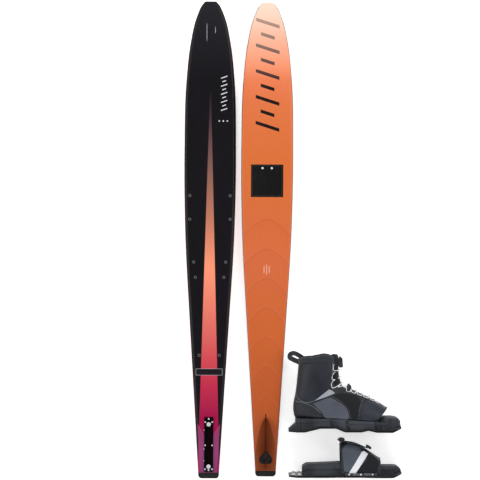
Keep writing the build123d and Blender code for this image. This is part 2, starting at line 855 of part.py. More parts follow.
def make_boot():
    """Every piece of the front boot, lying on its side."""
    lower_lock, lower_button = make_lock((BOOT_X + 210, BOOT_Y + 147, MIDDLE_Z), 8, 24)
    upper_lock, upper_button = make_lock((BOOT_X + 180, BOOT_Y + 236, MIDDLE_Z), 4, 34)
    wall = SHELL_WALL
    return {
        "boot_plate": make_plate(
            BOOT_PLATE_BOTTOM, BOOT_X, BOOT_Y, BOOT_FRONT_SPACING, BOOT_REAR_SPACING
        ),
        "boot_midsole": make_midsole(),
        "boot_toe_pad": make_toe_pad(),
        "boot_shell": make_shell(),
        "boot_plate_screws": make_plate_screws(),
        "boot_cuff": make_ankle_tube(FLEX_V, COLLAR_LOW - FIT, 0, wall),
        "boot_liner": make_ankle_tube(FLEX_V, COLLAR_LOW - FIT, wall + FIT, wall + 8),
        "boot_collar": make_ankle_tube(COLLAR_LOW, COLLAR_HIGH, -2, wall + 9),
        "boot_tongue": make_tongue(),
        "boot_heel_loop": make_heel_loop(),
        "boot_eyelets_lower": make_eyelets(*VAMP_LACE),
        "boot_eyelets_upper": make_eyelets(*CUFF_LACE),
        "boot_lace_lower": make_lace(*VAMP_LACE),
        "boot_lace_upper": make_lace(*CUFF_LACE),
        "boot_lock_lower": lower_lock,
        "boot_button_lower": lower_button,
        "boot_lock_upper": upper_lock,
        "boot_button_upper": upper_button,
    }


# --- toe plate ---------------------------------------------------------------------------------

def overlay_arch(grow):
    """A solid arch over the foot, its crown falling towards the toes."""
    with BuildPart() as arch:
        for u, crown in OVERLAY_CROWN:
            with BuildSketch(across_plane(TOE_X, TOE_Y, u)):
                half = OVERLAY_HALF_WIDTH + grow
                rise = crown - OVERLAY_FOOT + grow
                oval = [(-half, 0), (-0.8 * half, 0.6 * rise), (0, rise), (0.8 * half, 0.6 * rise), (half, 0)]
                points = [(x, z + OVERLAY_FOOT) for x, z in oval]
                with BuildLine():
                    Spline(points, tangents=((0, 1), (0, -1)))
                    Line(points[-1], points[0])
                make_face()
        loft(ruled=True)
    return arch.part


def make_overlay_layer(outer, inner):
    """One layer of the toe overlay, cut slanting at its back and front."""
    around = overlay_arch(-outer)
    inside = overlay_arch(-inner)
    view = ((183, 10), (176, 90), (192, 122), (292, 110), (312, 60), (308, 10))
    with BuildPart() as layer:
        add(around)
        add(inside, mode=Mode.SUBTRACT)
        add(slab(TOE_SIDE, view, 90), mode=Mode.INTERSECT)
    return layer


def make_footbed():
    """The long foam footbed with a raised heel pad."""
    under = plate_top(TOE_PLATE_BOTTOM, GLUE)
    side = [(46, under[0][1]), *under[1:], (386, 24), (368, 36), (305, 36), (200, 42), (183, 48), (62, 43)]
    with BuildPart() as footbed:
        add(slab(TOE_SIDE, [*side, (46, 34)], FOOTBED_HALF_WIDTH))
        with BuildSketch(level_plane(TOE_X, TOE_Y, 0)):
            with Locations(*[(u, 0) for u in SOLE_SCREWS]):
                Circle(SOLE_SCREW_RADIUS + FIT)
        extrude(amount=SCREW_TOP + 1, mode=Mode.SUBTRACT)
        with BuildSketch(level_plane(TOE_X, TOE_Y, 0)):
            with Locations((PLATE_REAR_HOLES, 0)):
                with GridLocations(PLATE_HOLE_STEP, TOE_REAR_SPACING, 3, 2):
                    Circle(PLATE_HOLE_RADIUS + SCREW_ROOM)
        extrude(amount=POCKET_TOP, mode=Mode.SUBTRACT)
    return footbed


def make_side_bars():
    """The two bars that clamp the overlay's feet to the plate."""
    inner = OVERLAY_HALF_WIDTH + FIT
    with BuildPart() as bars:
        for side in (-1, 1):
            with BuildSketch(level_plane(TOE_X, TOE_Y, BAR_LOW)):
                with Locations((246, side * (inner + BAR_WIDTH / 2))):
                    RectangleRounded(110, BAR_WIDTH, 2.4)
            extrude(amount=BAR_HEIGHT)
    return bars


def make_toe_screws():
    """Bar screws from both sides, and the rear plate screws on their washers."""
    reach = OVERLAY_HALF_WIDTH + FIT + BAR_WIDTH + GLUE
    with BuildPart() as screws:
        for side in (-1, 1):
            with BuildSketch(TOE_SIDE.offset(side * reach)):
                with Locations(*[(u, BAR_LOW + BAR_HEIGHT / 2) for u in BAR_SCREWS]):
                    Circle(3.2)
            extrude(amount=side * 2)
            for u in REAR_SCREWS:
                place = (u, side * TOE_REAR_SPACING / 2)
                for radius, low, high in ((7.5, 0.1, 1.8), (4.6, 1.8, 6)):
                    with BuildSketch(level_plane(TOE_X, TOE_Y, PLATE_THICKNESS + low)):
                        with Locations(place):
                            Circle(radius)
                    extrude(amount=high - low)
    return screws


def make_toe_lace():
    points = ((194, 121), (222, 119), (246, 113), (265, 103))
    with BuildPart() as lace:
        with BuildLine(TOE_SIDE) as route:
            FilletPolyline(*points, radius=60)
        with BuildSketch(Plane(origin=route.line @ 0, z_dir=route.line % 0)):
            Circle(LACE_RADIUS)
        sweep()
    return lace


def make_lace_guide():
    """The low guide that turns the lace at the front of the overlay."""
    with BuildPart() as guide:
        with BuildSketch(TOE_SIDE):
            with Locations(Location((276, 99.5), -32)):
                RectangleRounded(20, 9, 3)
        extrude(amount=9, both=True)
    return guide


def make_toe_plate():
    """Every piece of the rear toe plate, lying on its side."""
    lock, button = make_lock((TOE_X + 183, TOE_Y + 124, MIDDLE_Z), 84, 20)
    return {
        "toe_plate": make_plate(TOE_PLATE_BOTTOM, TOE_X, TOE_Y, TOE_FRONT_SPACING, TOE_REAR_SPACING),
        "toe_footbed": make_footbed(),
        "toe_overlay": make_overlay_layer(0, OVERLAY_WALL),
        "toe_overlay_liner": make_overlay_layer(OVERLAY_WALL + GLUE, OVERLAY_WALL + 5),
        "toe_side_bars": make_side_bars(),
        "toe_screws": make_toe_screws(),
        "toe_lace": make_toe_lace(),
        "toe_lace_guide": make_lace_guide(),
        "toe_lock": lock,
        "toe_button": button,
    }


def export_pieces(pieces):
    for name, piece in pieces.items():
        piece.part.label = name
        export_step(piece.part, f"parts/{name}.step")


ski_pieces = make_ski()
export_ski(
    ski_pieces,
    "left",
    Location((LEFT_X, SKI_Y, 0), (0, 0, LEFT_TURN)) * Location((0, 0, 0), (-LEFT_PITCH, 0, 0)),
)
export_ski(
    ski_pieces,
    "right",
    Location((RIGHT_X, SKI_Y, 0), (0, 0, RIGHT_TURN))
    * Location((0, 0, 0), (-RIGHT_PITCH, 0, 0))
    * Location((0, 0, 0), (0, 180, 0)),
)
export_pieces(make_boot())
export_pieces(make_toe_plate())
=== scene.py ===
"""Looks of the water ski pair: one slalom ski deck up, one base up, a lace-up boot and a rear toe plate.

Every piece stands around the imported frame. Lengths in the shape code are millimetres.
"""
import json
import math

import bmesh
import bpy
import numpy as np
from mathutils import Matrix, Vector
from mathutils.bvhtree import BVHTree


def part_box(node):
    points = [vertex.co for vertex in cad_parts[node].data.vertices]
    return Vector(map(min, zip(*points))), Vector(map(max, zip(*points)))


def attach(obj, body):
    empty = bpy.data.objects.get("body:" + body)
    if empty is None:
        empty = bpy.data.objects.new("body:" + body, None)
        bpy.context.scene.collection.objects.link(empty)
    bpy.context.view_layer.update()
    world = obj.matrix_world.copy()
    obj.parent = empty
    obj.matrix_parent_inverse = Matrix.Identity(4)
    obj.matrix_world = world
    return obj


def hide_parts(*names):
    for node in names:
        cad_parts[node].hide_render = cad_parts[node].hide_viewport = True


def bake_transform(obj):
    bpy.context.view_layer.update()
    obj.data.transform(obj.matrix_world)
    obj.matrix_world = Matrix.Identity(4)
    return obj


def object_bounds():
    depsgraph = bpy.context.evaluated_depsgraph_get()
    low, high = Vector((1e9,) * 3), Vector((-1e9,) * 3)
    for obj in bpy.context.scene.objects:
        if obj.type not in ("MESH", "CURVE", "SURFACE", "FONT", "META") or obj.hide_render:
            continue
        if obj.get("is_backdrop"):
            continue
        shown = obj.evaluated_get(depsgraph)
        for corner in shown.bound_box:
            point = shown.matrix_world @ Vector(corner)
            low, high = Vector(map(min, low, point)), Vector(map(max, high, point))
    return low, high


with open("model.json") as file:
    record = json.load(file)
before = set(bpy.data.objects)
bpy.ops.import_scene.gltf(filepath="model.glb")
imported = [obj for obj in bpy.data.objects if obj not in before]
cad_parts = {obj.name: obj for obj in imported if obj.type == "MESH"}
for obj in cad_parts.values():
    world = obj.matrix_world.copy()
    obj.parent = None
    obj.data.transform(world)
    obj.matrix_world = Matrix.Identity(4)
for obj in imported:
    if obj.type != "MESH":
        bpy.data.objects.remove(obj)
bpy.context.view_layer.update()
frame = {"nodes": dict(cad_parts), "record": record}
MM = 0.001
MOUNTS = {mount["name"]: mount for mount in frame["record"]["mounts"]}


# ---------- node helpers ----------
def srgb(red, green, blue):
    """A linear colour from display values of 0 to 255."""
    shares = [channel / 255 for channel in (red, green, blue)]
    return (*[s / 12.92 if s <= 0.04045 else ((s + 0.055) / 1.055) ** 2.4 for s in shares], 1.0)


def start_material(name, colour, roughness, metallic=0.0, specular=0.5):
    """A new material with its shader's plain values set; returns the material, its tree and the shader."""
    material = bpy.data.materials.new(name)
    material.use_nodes = True
    tree = material.node_tree
    shader = tree.nodes["Principled BSDF"]
    shader.inputs["Base Color"].default_value = colour
    shader.inputs["Roughness"].default_value = roughness
    shader.inputs["Metallic"].default_value = metallic
    shader.inputs["Specular IOR Level"].default_value = specular
    return material, tree, shader


def paint_with(tree, shader, paint):
    tree.links.new(paint, shader.inputs["Base Color"])


def plug(tree, socket, value):
    if isinstance(value, bpy.types.NodeSocket):
        tree.links.new(value, socket)
    else:
        socket.default_value = value


def calc(tree, operation, *values, clamp=False):
    node = tree.nodes.new("ShaderNodeMath")
    node.operation = operation
    node.use_clamp = clamp
    for socket, value in zip(node.inputs, values):
        plug(tree, socket, value)
    return node.outputs[0]


def spread(tree, value, low, high, to_low=0.0, to_high=1.0):
    """Maps low..high to to_low..to_high, clamped."""
    node = tree.nodes.new("ShaderNodeMapRange")
    plug(tree, node.inputs["Value"], value)
    for name, bound in (("From Min", low), ("From Max", high), ("To Min", to_low), ("To Max", to_high)):
        node.inputs[name].default_value = bound
    return node.outputs["Result"]


def ramp(tree, factor, stops):
    node = tree.nodes.new("ShaderNodeValToRGB")
    plug(tree, node.inputs[0], factor)
    elements = node.color_ramp.elements
    while len(elements) < len(stops):
        elements.new(1.0)
    for element, (position, colour) in zip(elements, stops):
        element.position = position
        element.color = colour
    return node.outputs[0]


def blend_colours(tree, factor, first, second, mode="MIX"):
    node = tree.nodes.new("ShaderNodeMix")
    node.data_type = "RGBA"
    node.blend_type = mode
    plug(tree, node.inputs[0], factor)
    plug(tree, node.inputs[6], first)
    plug(tree, node.inputs[7], second)
    return node.outputs[2]


def place_of(tree):
    """X, Y and Z of the shaded point in the object's own metres."""
    coordinates = tree.nodes.new("ShaderNodeTexCoord").outputs["Object"]
    split = tree.nodes.new("ShaderNodeSeparateXYZ")
    tree.links.new(coordinates, split.inputs[0])
    return coordinates, split.outputs


def stretched(tree, coordinates, scale, turn=(0, 0, 0)):
    node = tree.nodes.new("ShaderNodeMapping")
    tree.links.new(coordinates, node.inputs["Vector"])
    node.inputs["Scale"].default_value = scale
    node.inputs["Rotation"].default_value = turn
    return node.outputs[0]


def noise(tree, coordinates, scale, detail=3.0, roughness=0.55):
    node = tree.nodes.new("ShaderNodeTexNoise")
    tree.links.new(coordinates, node.inputs["Vector"])
    node.inputs["Scale"].default_value = scale
    node.inputs["Detail"].default_value = detail
    node.inputs["Roughness"].default_value = roughness
    return node.outputs["Fac"]


def cells(tree, coordinates, scale, feature="DISTANCE_TO_EDGE"):
    node = tree.nodes.new("ShaderNodeTexVoronoi")
    node.feature = feature
    tree.links.new(coordinates, node.inputs["Vector"])
    node.inputs["Scale"].default_value = scale
    return node.outputs["Distance"]


def weave(tree, coordinates, pitch):
    """Height of a fine cloth weave: threads along two slanted directions, one over the other."""
    heights = []
    for turn in (0.6, -0.97):
        wave = tree.nodes.new("ShaderNodeTexWave")
        tree.links.new(stretched(tree, coordinates, (1, 1, 1), (0.3, 0.5, turn)), wave.inputs["Vector"])
        wave.inputs["Scale"].default_value = 1 / (6.3 * pitch)
        heights.append(wave.outputs["Fac"])
    return calc(tree, "MAXIMUM", *heights)


def bump(tree, shader, height, distance, strength=0.6, socket="Normal"):
    node = tree.nodes.new("ShaderNodeBump")
    tree.links.new(height, node.inputs["Height"])
    node.inputs["Distance"].default_value = distance
    node.inputs["Strength"].default_value = strength
    tree.links.new(node.outputs[0], shader.inputs[socket])


def edge_wear(tree):
    """About 1 on sharp outer edges, 0 elsewhere, broken up by noise."""
    pointiness = tree.nodes.new("ShaderNodeNewGeometry").outputs["Pointiness"]
    coordinates, _ = place_of(tree)
    worn = spread(tree, pointiness, 0.53, 0.6)
    return calc(tree, "MULTIPLY", worn, spread(tree, noise(tree, coordinates, 90), 0.35, 0.65))


def all_of(tree, *masks):
    """Product of masks."""
    result = masks[0]
    for mask in masks[1:]:
        result = calc(tree, "MULTIPLY", result, mask)
    return result


def below(tree, value, limit, soft=0.0003):
    """1 where value is under limit, with a thin soft edge; limit may be a socket."""
    return spread(tree, calc(tree, "SUBTRACT", limit, value), -soft, soft)


# ---------- mesh helpers ----------
def smooth_curve(stops, at):
    """A smooth curve through (position, value...) stops, read at one or more positions."""
    table = np.array(stops, float)
    at = np.clip(np.asarray(at, float), table[0, 0], table[-1, 0])
    places, values = table[:, 0], table[:, 1:]
    slopes = np.gradient(values, places, axis=0)
    i = np.clip(np.searchsorted(places, at, side="right") - 1, 0, len(places) - 2)
    step = (places[i + 1] - places[i])[..., None]
    t = ((at - places[i])[..., None]) / step
    start = (1 + 2 * t) * (1 - t) ** 2 * values[i] + t * (1 - t) ** 2 * step * slopes[i]
    end = t * t * (3 - 2 * t) * values[i + 1] + t * t * (t - 1) * step * slopes[i + 1]
    return start + end


def smooth_path(points, count):
    """Evenly spaced points on a smooth line through the given ones."""
    points = np.array(points, float)
    reach = np.concatenate([[0], np.cumsum(np.linalg.norm(np.diff(points, axis=0), axis=1))])
    dense = smooth_curve(np.column_stack([reach, points]), np.linspace(0, reach[-1], count * 8))
    run = np.concatenate([[0], np.cumsum(np.linalg.norm(np.diff(dense, axis=0), axis=1))])
    even = np.linspace(0, run[-1], count)
    return np.column_stack([np.interp(even, run, dense[:, axis]) for axis in range(dense.shape[1])])


def loft(rings, closed_ring=True, capped=True):
    """Vertices and faces of a skin through rings that all have the same number of points."""
    rings = np.array(rings, float)
    count, size = rings.shape[:2]
    vertices = [tuple(point) for ring in rings for point in ring]
    last = size if closed_ring else size - 1
    faces = []
    for row in range(count - 1):
        for column in range(last):
            after = (column + 1) % size
            low, high = row * size, (row + 1) * size
            faces.append((low + column, low + after, high + after, high + column))
    if capped and closed_ring:
        faces.append(tuple(reversed(range(size))))
        faces.append(tuple(range((count - 1) * size, count * size)))
    return vertices, faces


def make_piece(name, vertices, faces, material, place=None):
    """A mesh piece from millimetre points, smooth but for edges over 35 degrees."""
    mesh = bpy.data.meshes.new(name)
    mesh.from_pydata([tuple(c * MM for c in vertex) for vertex in vertices], [], faces)
    obj = bpy.data.objects.new(name, mesh)
    bpy.context.scene.collection.objects.link(obj)
    obj.data.materials.append(material)
    if place is not None:
        obj.matrix_world = place
    tidy_normals(obj)
    return obj


def tidy_normals(obj, degrees=35):
    work = bmesh.new()
    work.from_mesh(obj.data)
    bmesh.ops.remove_doubles(work, verts=work.verts, dist=1e-6)
    bmesh.ops.recalc_face_normals(work, faces=work.faces)
    work.to_mesh(obj.data)
    work.free()
    obj.data.shade_smooth()
    obj.data.set_sharp_from_angle(angle=math.radians(degrees))
    obj.data.update()


def apply_modifier(obj, modifier):
    """Applies the object's one modifier to its mesh."""
    graph = bpy.context.evaluated_depsgraph_get()
    made = bpy.data.meshes.new_from_object(obj.evaluated_get(graph))
    obj.modifiers.remove(modifier)
    obj.data = made


def cut_with(obj, cutter):
    """Cuts a solid out of a piece and removes the cutter."""
    modifier = obj.modifiers.new("cut", "BOOLEAN")
    modifier.operation = "DIFFERENCE"
    modifier.solver = "EXACT"
    modifier.object = cutter
    apply_modifier(obj, modifier)
    tidy_normals(obj)
    return obj


def settle(obj):
    """Moves the object's place into its mesh."""
    bpy.context.view_layer.update()
    obj.data.transform(obj.matrix_world)
    obj.matrix_world = Matrix.Identity(4)
    return obj


def drop(obj):
    bpy.data.objects.remove(obj)


def box_mesh(low, high):
    (x0, y0, z0), (x1, y1, z1) = low, high
    rings = [[(x0, y0, z), (x1, y0, z), (x1, y1, z), (x0, y1, z)] for z in (z0, z1)]
    return loft(rings)


def cylinder_mesh(centre, radius, low, high, sides=32):
    turns = [2 * math.pi * k / sides for k in range(sides)]
    rings = [
        [(centre[0] + radius * math.cos(t), centre[1] + radius * math.sin(t), z) for t in turns]
        for z in (low, high)
    ]
    return loft(rings)


def join_meshes(parts):
    """One vertex and face list from several."""
    vertices, faces = [], []
    for part_vertices, part_faces in parts:
        offset = len(vertices)
        vertices += list(part_vertices)
        faces += [tuple(index + offset for index in face) for face in part_faces]
    return vertices, faces


# ---------- the skis ----------
SKI_LENGTH = 1651
OUTLINE = (
    (0, 24), (14, 32), (62, 52), (140, 69.5), (270, 84), (500, 90),
    (820, 85), (1100, 69), (1360, 52.7), (1631, 36), (1651, 34.8),
)
INSERT_PAIRS = ((978, 140), (896, 140), (747, 111), (694, 99), (424, 70))


def base_height(distance):
    """Height of the base line at a distance from the tip."""
    height = 0
    for rise, length, reached in ((62, 540, 540 - distance), (9, 401, distance - SKI_LENGTH + 401)):
        radius = (length**2 + rise**2) / (2 * rise)
        height += radius - math.sqrt(radius**2 - max(0, reached) ** 2)
    return height


def deck_height(distance):
    if distance < 600:
        return base_height(distance) + 20 - 11 * ((600 - distance) / 600) ** 2
    return 20 - 1.4 * max(0, distance - 900) / (SKI_LENGTH - 900)


def half_width(distance):
    half = float(smooth_curve(OUTLINE, distance)[0])
    if distance < 22:
        roundness = (1 - (1 - distance / 22) ** 2.2) ** (1 / 2.2)
        half = 17 + (half - 17) * roundness
    return half


def ski_lines(distance):
    """Half cross-sections at a distance from the tip, centre to edge: base, its inside, deck inside, deck."""
    half, low, high = half_width(distance), base_height(distance), deck_height(distance)
    nose = 1 - math.sqrt(1 - (1 - min(1, distance / 8)) ** 2)
    low += nose * 3
    high -= nose * 3.5
    tall = high - low
    tunnel = 0.7 * half
    depth = 2.4 * min(1, distance / 260) * min(1, (SKI_LENGTH - distance + 150) / 500)
    base = [(share * tunnel, low + depth * 0.5 * (1 + math.cos(math.pi * share))) for share in
            (0, 0.14, 0.28, 0.42, 0.56, 0.7, 0.85, 1)]
    edge = min(4.0, 0.42 * tall)
    base += [(0.8 * half, low), (half - 8, low + 0.05), (half - 4.6, low + 0.12 * edge),
             (half - 2.2, low + 0.45 * edge), (half - 0.9, low + edge)]
    base_inside = [(x * (half - 2) / half, z + min(2, 0.3 * tall)) for x, z in base[:-1]]
    base_inside.append((half - 1.2, low + edge + 0.1))
    bevel = min(9, 0.3 * half)
    drop_high = min(5.2, 0.36 * tall)
    deck = [(share * (half - bevel - 1.5), high) for share in (0, 0.2, 0.4, 0.6, 0.8, 1)]
    deck += [(half - bevel, high - 0.15), (half - 0.72 * bevel, high - 0.22 * drop_high),
             (half - 0.45 * bevel, high - 0.5 * drop_high), (half - 0.2 * bevel, high - 0.78 * drop_high),
             (half - 0.7, high - drop_high), (half, 0.5 * (low + edge + high - drop_high)),
             (half - 0.5, low + edge + 0.15)]
    deck_inside = [(x * (half - 2.4) / half, z - min(2, 0.3 * tall)) for x, z in deck[:-2]]
    deck_inside += [(half - 2.4, low + edge + 1.4), (half - 2.2, low + edge + 0.2)]
    return base, base_inside, deck_inside, deck


def ski_rings(distance, kind):
    base, base_inside, deck_inside, deck = ski_lines(distance)
    first, second = {"base": (base, base_inside), "core": (base_inside, deck_inside),
        "deck": (deck_inside, deck)}[kind]
    near_side = list(first) + list(reversed(second))
    far_under = [(-x, z) for x, z in first[1:]][::-1]
    far_over = [(-x, z) for x, z in second[1:]]
    ring = far_under + near_side + far_over
    y = SKI_LENGTH / 2 - distance
    return [(x, y, z) for x, z in ring]


SKI_STATIONS = (
    [0, 0.5, 1.2, 2.2, 3.5, 5, 7, 9.5, 12.5, 16, 20, 25, 31, 38, 46]
    + [float(stop) for stop in np.linspace(55, 275, 20)]
    + [float(stop) for stop in np.linspace(295, 1615, 56)]
    + [1631]
)


def ski_place(side):
    """The ski's own axes in the row frame, worked out from its mounts."""
    up = Vector(MOUNTS[f"{side}_ski_deck_face"]["axis"]).normalized()
    first = Vector(MOUNTS[f"{side}_ski_insert_front_outer_a"]["pos_m"])
    second = Vector(MOUNTS[f"{side}_ski_insert_front_outer_b"]["pos_m"])
    right = (second - first).normalized()
    forward = up.cross(right)
    origin = Vector(MOUNTS[f"{side}_ski_deck_face"]["pos_m"]) - forward * 75.5 * MM - up * 20 * MM
    place = Matrix((right, forward, up)).transposed().to_4x4()
    place.translation = origin
    return place


def ski_cutter(place):
    """Everything cut from the ski: insert holes, the fin box recess and the fin slot."""
    parts = []
    for from_tail, spacing in INSERT_PAIRS:
        y = from_tail - SKI_LENGTH / 2
        top = deck_height(SKI_LENGTH - from_tail)
        parts += [cylinder_mesh((side * spacing / 2, y), 4.85, top - 12, top + 5) for side in (-1, 1)]
    half = SKI_LENGTH / 2
    parts.append(rounded_box(15.7, (22.8 - half, 211.2 - half), 13.9, 40))
    parts.append(box_mesh((-1.6, 23 - half, -5), (1.6, 219 - half, 15)))
    cutter = make_piece("cutter", *join_meshes(parts), bpy.data.materials.new("cut"), place)
    return cutter


def rounded_box(half, ends, low, high):
    corner = 5
    points = []
    for x, y, start in ((half, ends[1], 0), (-half, ends[1], 90), (-half, ends[0], 180),
        (half, ends[0], 270)):
        centre = (x - math.copysign(corner, x), y - (corner if y == ends[1] else -corner))
        for k in range(5):
            turn = math.radians(start + 22.5 * k)
            points.append((centre[0] + corner * math.cos(turn), centre[1] + corner * math.sin(turn)))
    return loft([[(x, y, z) for x, y in points] for z in (low, high)])


def guard_rings():
    """The moulded tail guard: square end with round corners and soft edges."""
    rings = []
    for distance in (1631.2, 1632, 1636, 1640, 1643, 1645.5, 1647.5, 1649, 1650, 1650.7, 1651):
        half = half_width(distance) + 0.3
        corner = max(0, distance - 1640.5)
        half -= 10.5 - math.sqrt(10.5**2 - corner**2)
        soft = max(0, distance - 1648) / 3
        pull = 1.6 * (1 - math.sqrt(1 - soft**2))
        low, high = base_height(distance) + pull + 0.1, deck_height(distance) - pull + 0.1
        outline = [(half, 0.5), (half - 0.1, 0.72), (half - 0.7, 0.88), (half - 2, 0.97), (half - 4, 1)]
        outline += [((half - 4) * share, 1) for share in (0.5, 0, -0.5)]
        outline += [(-x, z) for x, z in outline[4::-1]]
        outline += [(x, 1 - z) for x, z in reversed(outline[1:12])]
        y = SKI_LENGTH / 2 - distance
        rings.append([(x, y, low + (high - low) * z) for x, z in outline])
    return rings


def make_ski(side, finishes):
    body = f"{side}_ski"
    place = ski_place(side)
    cutter = ski_cutter(place)
    for kind in ("base", "core", "deck"):
        rings = [ski_rings(distance, kind) for distance in SKI_STATIONS]
        layer = make_piece(f"{side}_ski_{kind}_skin", *loft(rings), finishes[kind], place)
        settle(cut_with(layer, cutter))
        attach(layer, body)
        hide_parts(f"{side}_ski_{kind}")
    drop(cutter)
    guard = settle(make_piece(f"{side}_ski_guard", *loft(guard_rings()), finishes["guard"], place))
    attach(guard, body)
    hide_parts(f"{side}_ski_tail_guard")
    # The raised lines near the tip are ridges of the deck; their pale finish is a painted highlight.
    for label, offset, ends in (("a", -13, (74, 137)), ("b", 16.5, (86, 109))):
        line = make_piece(f"{side}_ski_tip_line_{label}", *tip_line(offset, *ends), finishes["line"], place)
        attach(settle(line), body)


def tip_line(offset, start, end):
    """A slim raised line moulded into the deck near the tip."""
    rings = []
    for distance in np.linspace(start, end, 16):
        fade = math.sin(math.pi * (distance - start) / (end - start)) ** 0.5
        top = deck_height(float(distance))
        half, tall = 0.15 + 0.75 * fade, 0.05 + 0.45 * fade
        y = SKI_LENGTH / 2 - float(distance)
        rings.append([(offset + half * math.cos(t), y, top - 0.1 + (tall + 0.1) * math.sin(t)) for t in
                      [math.pi * k / 8 for k in range(9)]])
    return loft(rings)


# ---------- ski finishes ----------
def ski_axes(tree, place):
    """The ski's across and distance-from-tip coordinates, in millimetres, from its place in the row frame."""
    node = tree.nodes.new("ShaderNodeMapping")
    node.vector_type = "TEXTURE"
    tree.links.new(tree.nodes.new("ShaderNodeTexCoord").outputs["Object"], node.inputs["Vector"])
    node.inputs["Location"].default_value = place.translation
    node.inputs["Rotation"].default_value = place.to_euler("XYZ")
    coordinates = node.outputs[0]
    split = tree.nodes.new("ShaderNodeSeparateXYZ")
    tree.links.new(coordinates, split.inputs[0])
    x, y = split.outputs[0], split.outputs[1]
    across = calc(tree, "MULTIPLY", x, 1000.0)
    distance = calc(tree, "SUBTRACT", SKI_LENGTH / 2, calc(tree, "MULTIPLY", y, 1000.0))
    return coordinates, across, distance


def half_width_node(tree, distance):
    """The ski's half width as a curve of distance, for patterns that follow the edge."""
    node = tree.nodes.new("ShaderNodeFloatCurve")
    plug(tree, node.inputs["Value"], calc(tree, "DIVIDE", distance, SKI_LENGTH))
    curve = node.mapping.curves[0]
    for position, half in OUTLINE[1:-1]:
        curve.points.new(position / SKI_LENGTH, half / 100)
    curve.points[0].location = (0, 0.24)
    curve.points[-1].location = (1, 0.348)
    node.mapping.update()
    return calc(tree, "MULTIPLY", node.outputs[0], 100.0)


def bar_row(tree, across, distance, centre, reach, start, end, pitch, thick, slant, soft=0.4):
    """A plain row of slanted bars, every other one shorter, standing where the real ski has lettering."""
    aside = calc(tree, "SUBTRACT", across, centre)
    run = calc(tree, "SUBTRACT", calc(tree, "MULTIPLY_ADD", aside, slant, distance), start)
    step = calc(tree, "DIVIDE", run, pitch)
    phase = calc(tree, "MULTIPLY", calc(tree, "FRACT", step), pitch)
    bar = below(tree, phase, thick, soft)
    bar = all_of(tree, bar, spread(tree, phase, 0, soft))
    odd = calc(tree, "GREATER_THAN", calc(tree, "FRACT",
        calc(tree, "DIVIDE", calc(tree, "FLOOR", step), 2.0)), 0.25)
    limit = calc(tree, "MULTIPLY_ADD", odd, -0.42 * reach, reach)
    wide = below(tree, calc(tree, "ABSOLUTE", aside), limit, soft)
    return all_of(tree, bar, wide, spread(tree, run, 0, soft), below(tree, run, end - start, soft))


def disc(tree, across, distance, place, radius, soft=0.3):
    """1 inside a round dot."""
    reach = calc(tree, "POWER", calc(tree, "SUBTRACT", across, place[0]), 2.0)
    reach = calc(tree, "ADD", reach, calc(tree, "POWER", calc(tree, "SUBTRACT", distance, place[1]), 2.0))
    return below(tree, calc(tree, "SQRT", reach), radius, soft)


def patch(tree, across, distance, centre, half_across, half_along, soft=0.4):
    """1 inside a rectangle."""
    wide = below(tree, calc(tree, "ABSOLUTE", calc(tree, "SUBTRACT", across, centre[0])), half_across, soft)
    long = below(tree, calc(tree, "ABSOLUTE", calc(tree, "SUBTRACT", distance, centre[1])), half_along, soft)
    return all_of(tree, wide, long)


def faint_wear(tree, coordinates):
    """Fine scuffs along the ski, 0 to 1."""
    return noise(tree, stretched(tree, coordinates, (60, 6, 60)), 4.0, 6.0, 0.7)


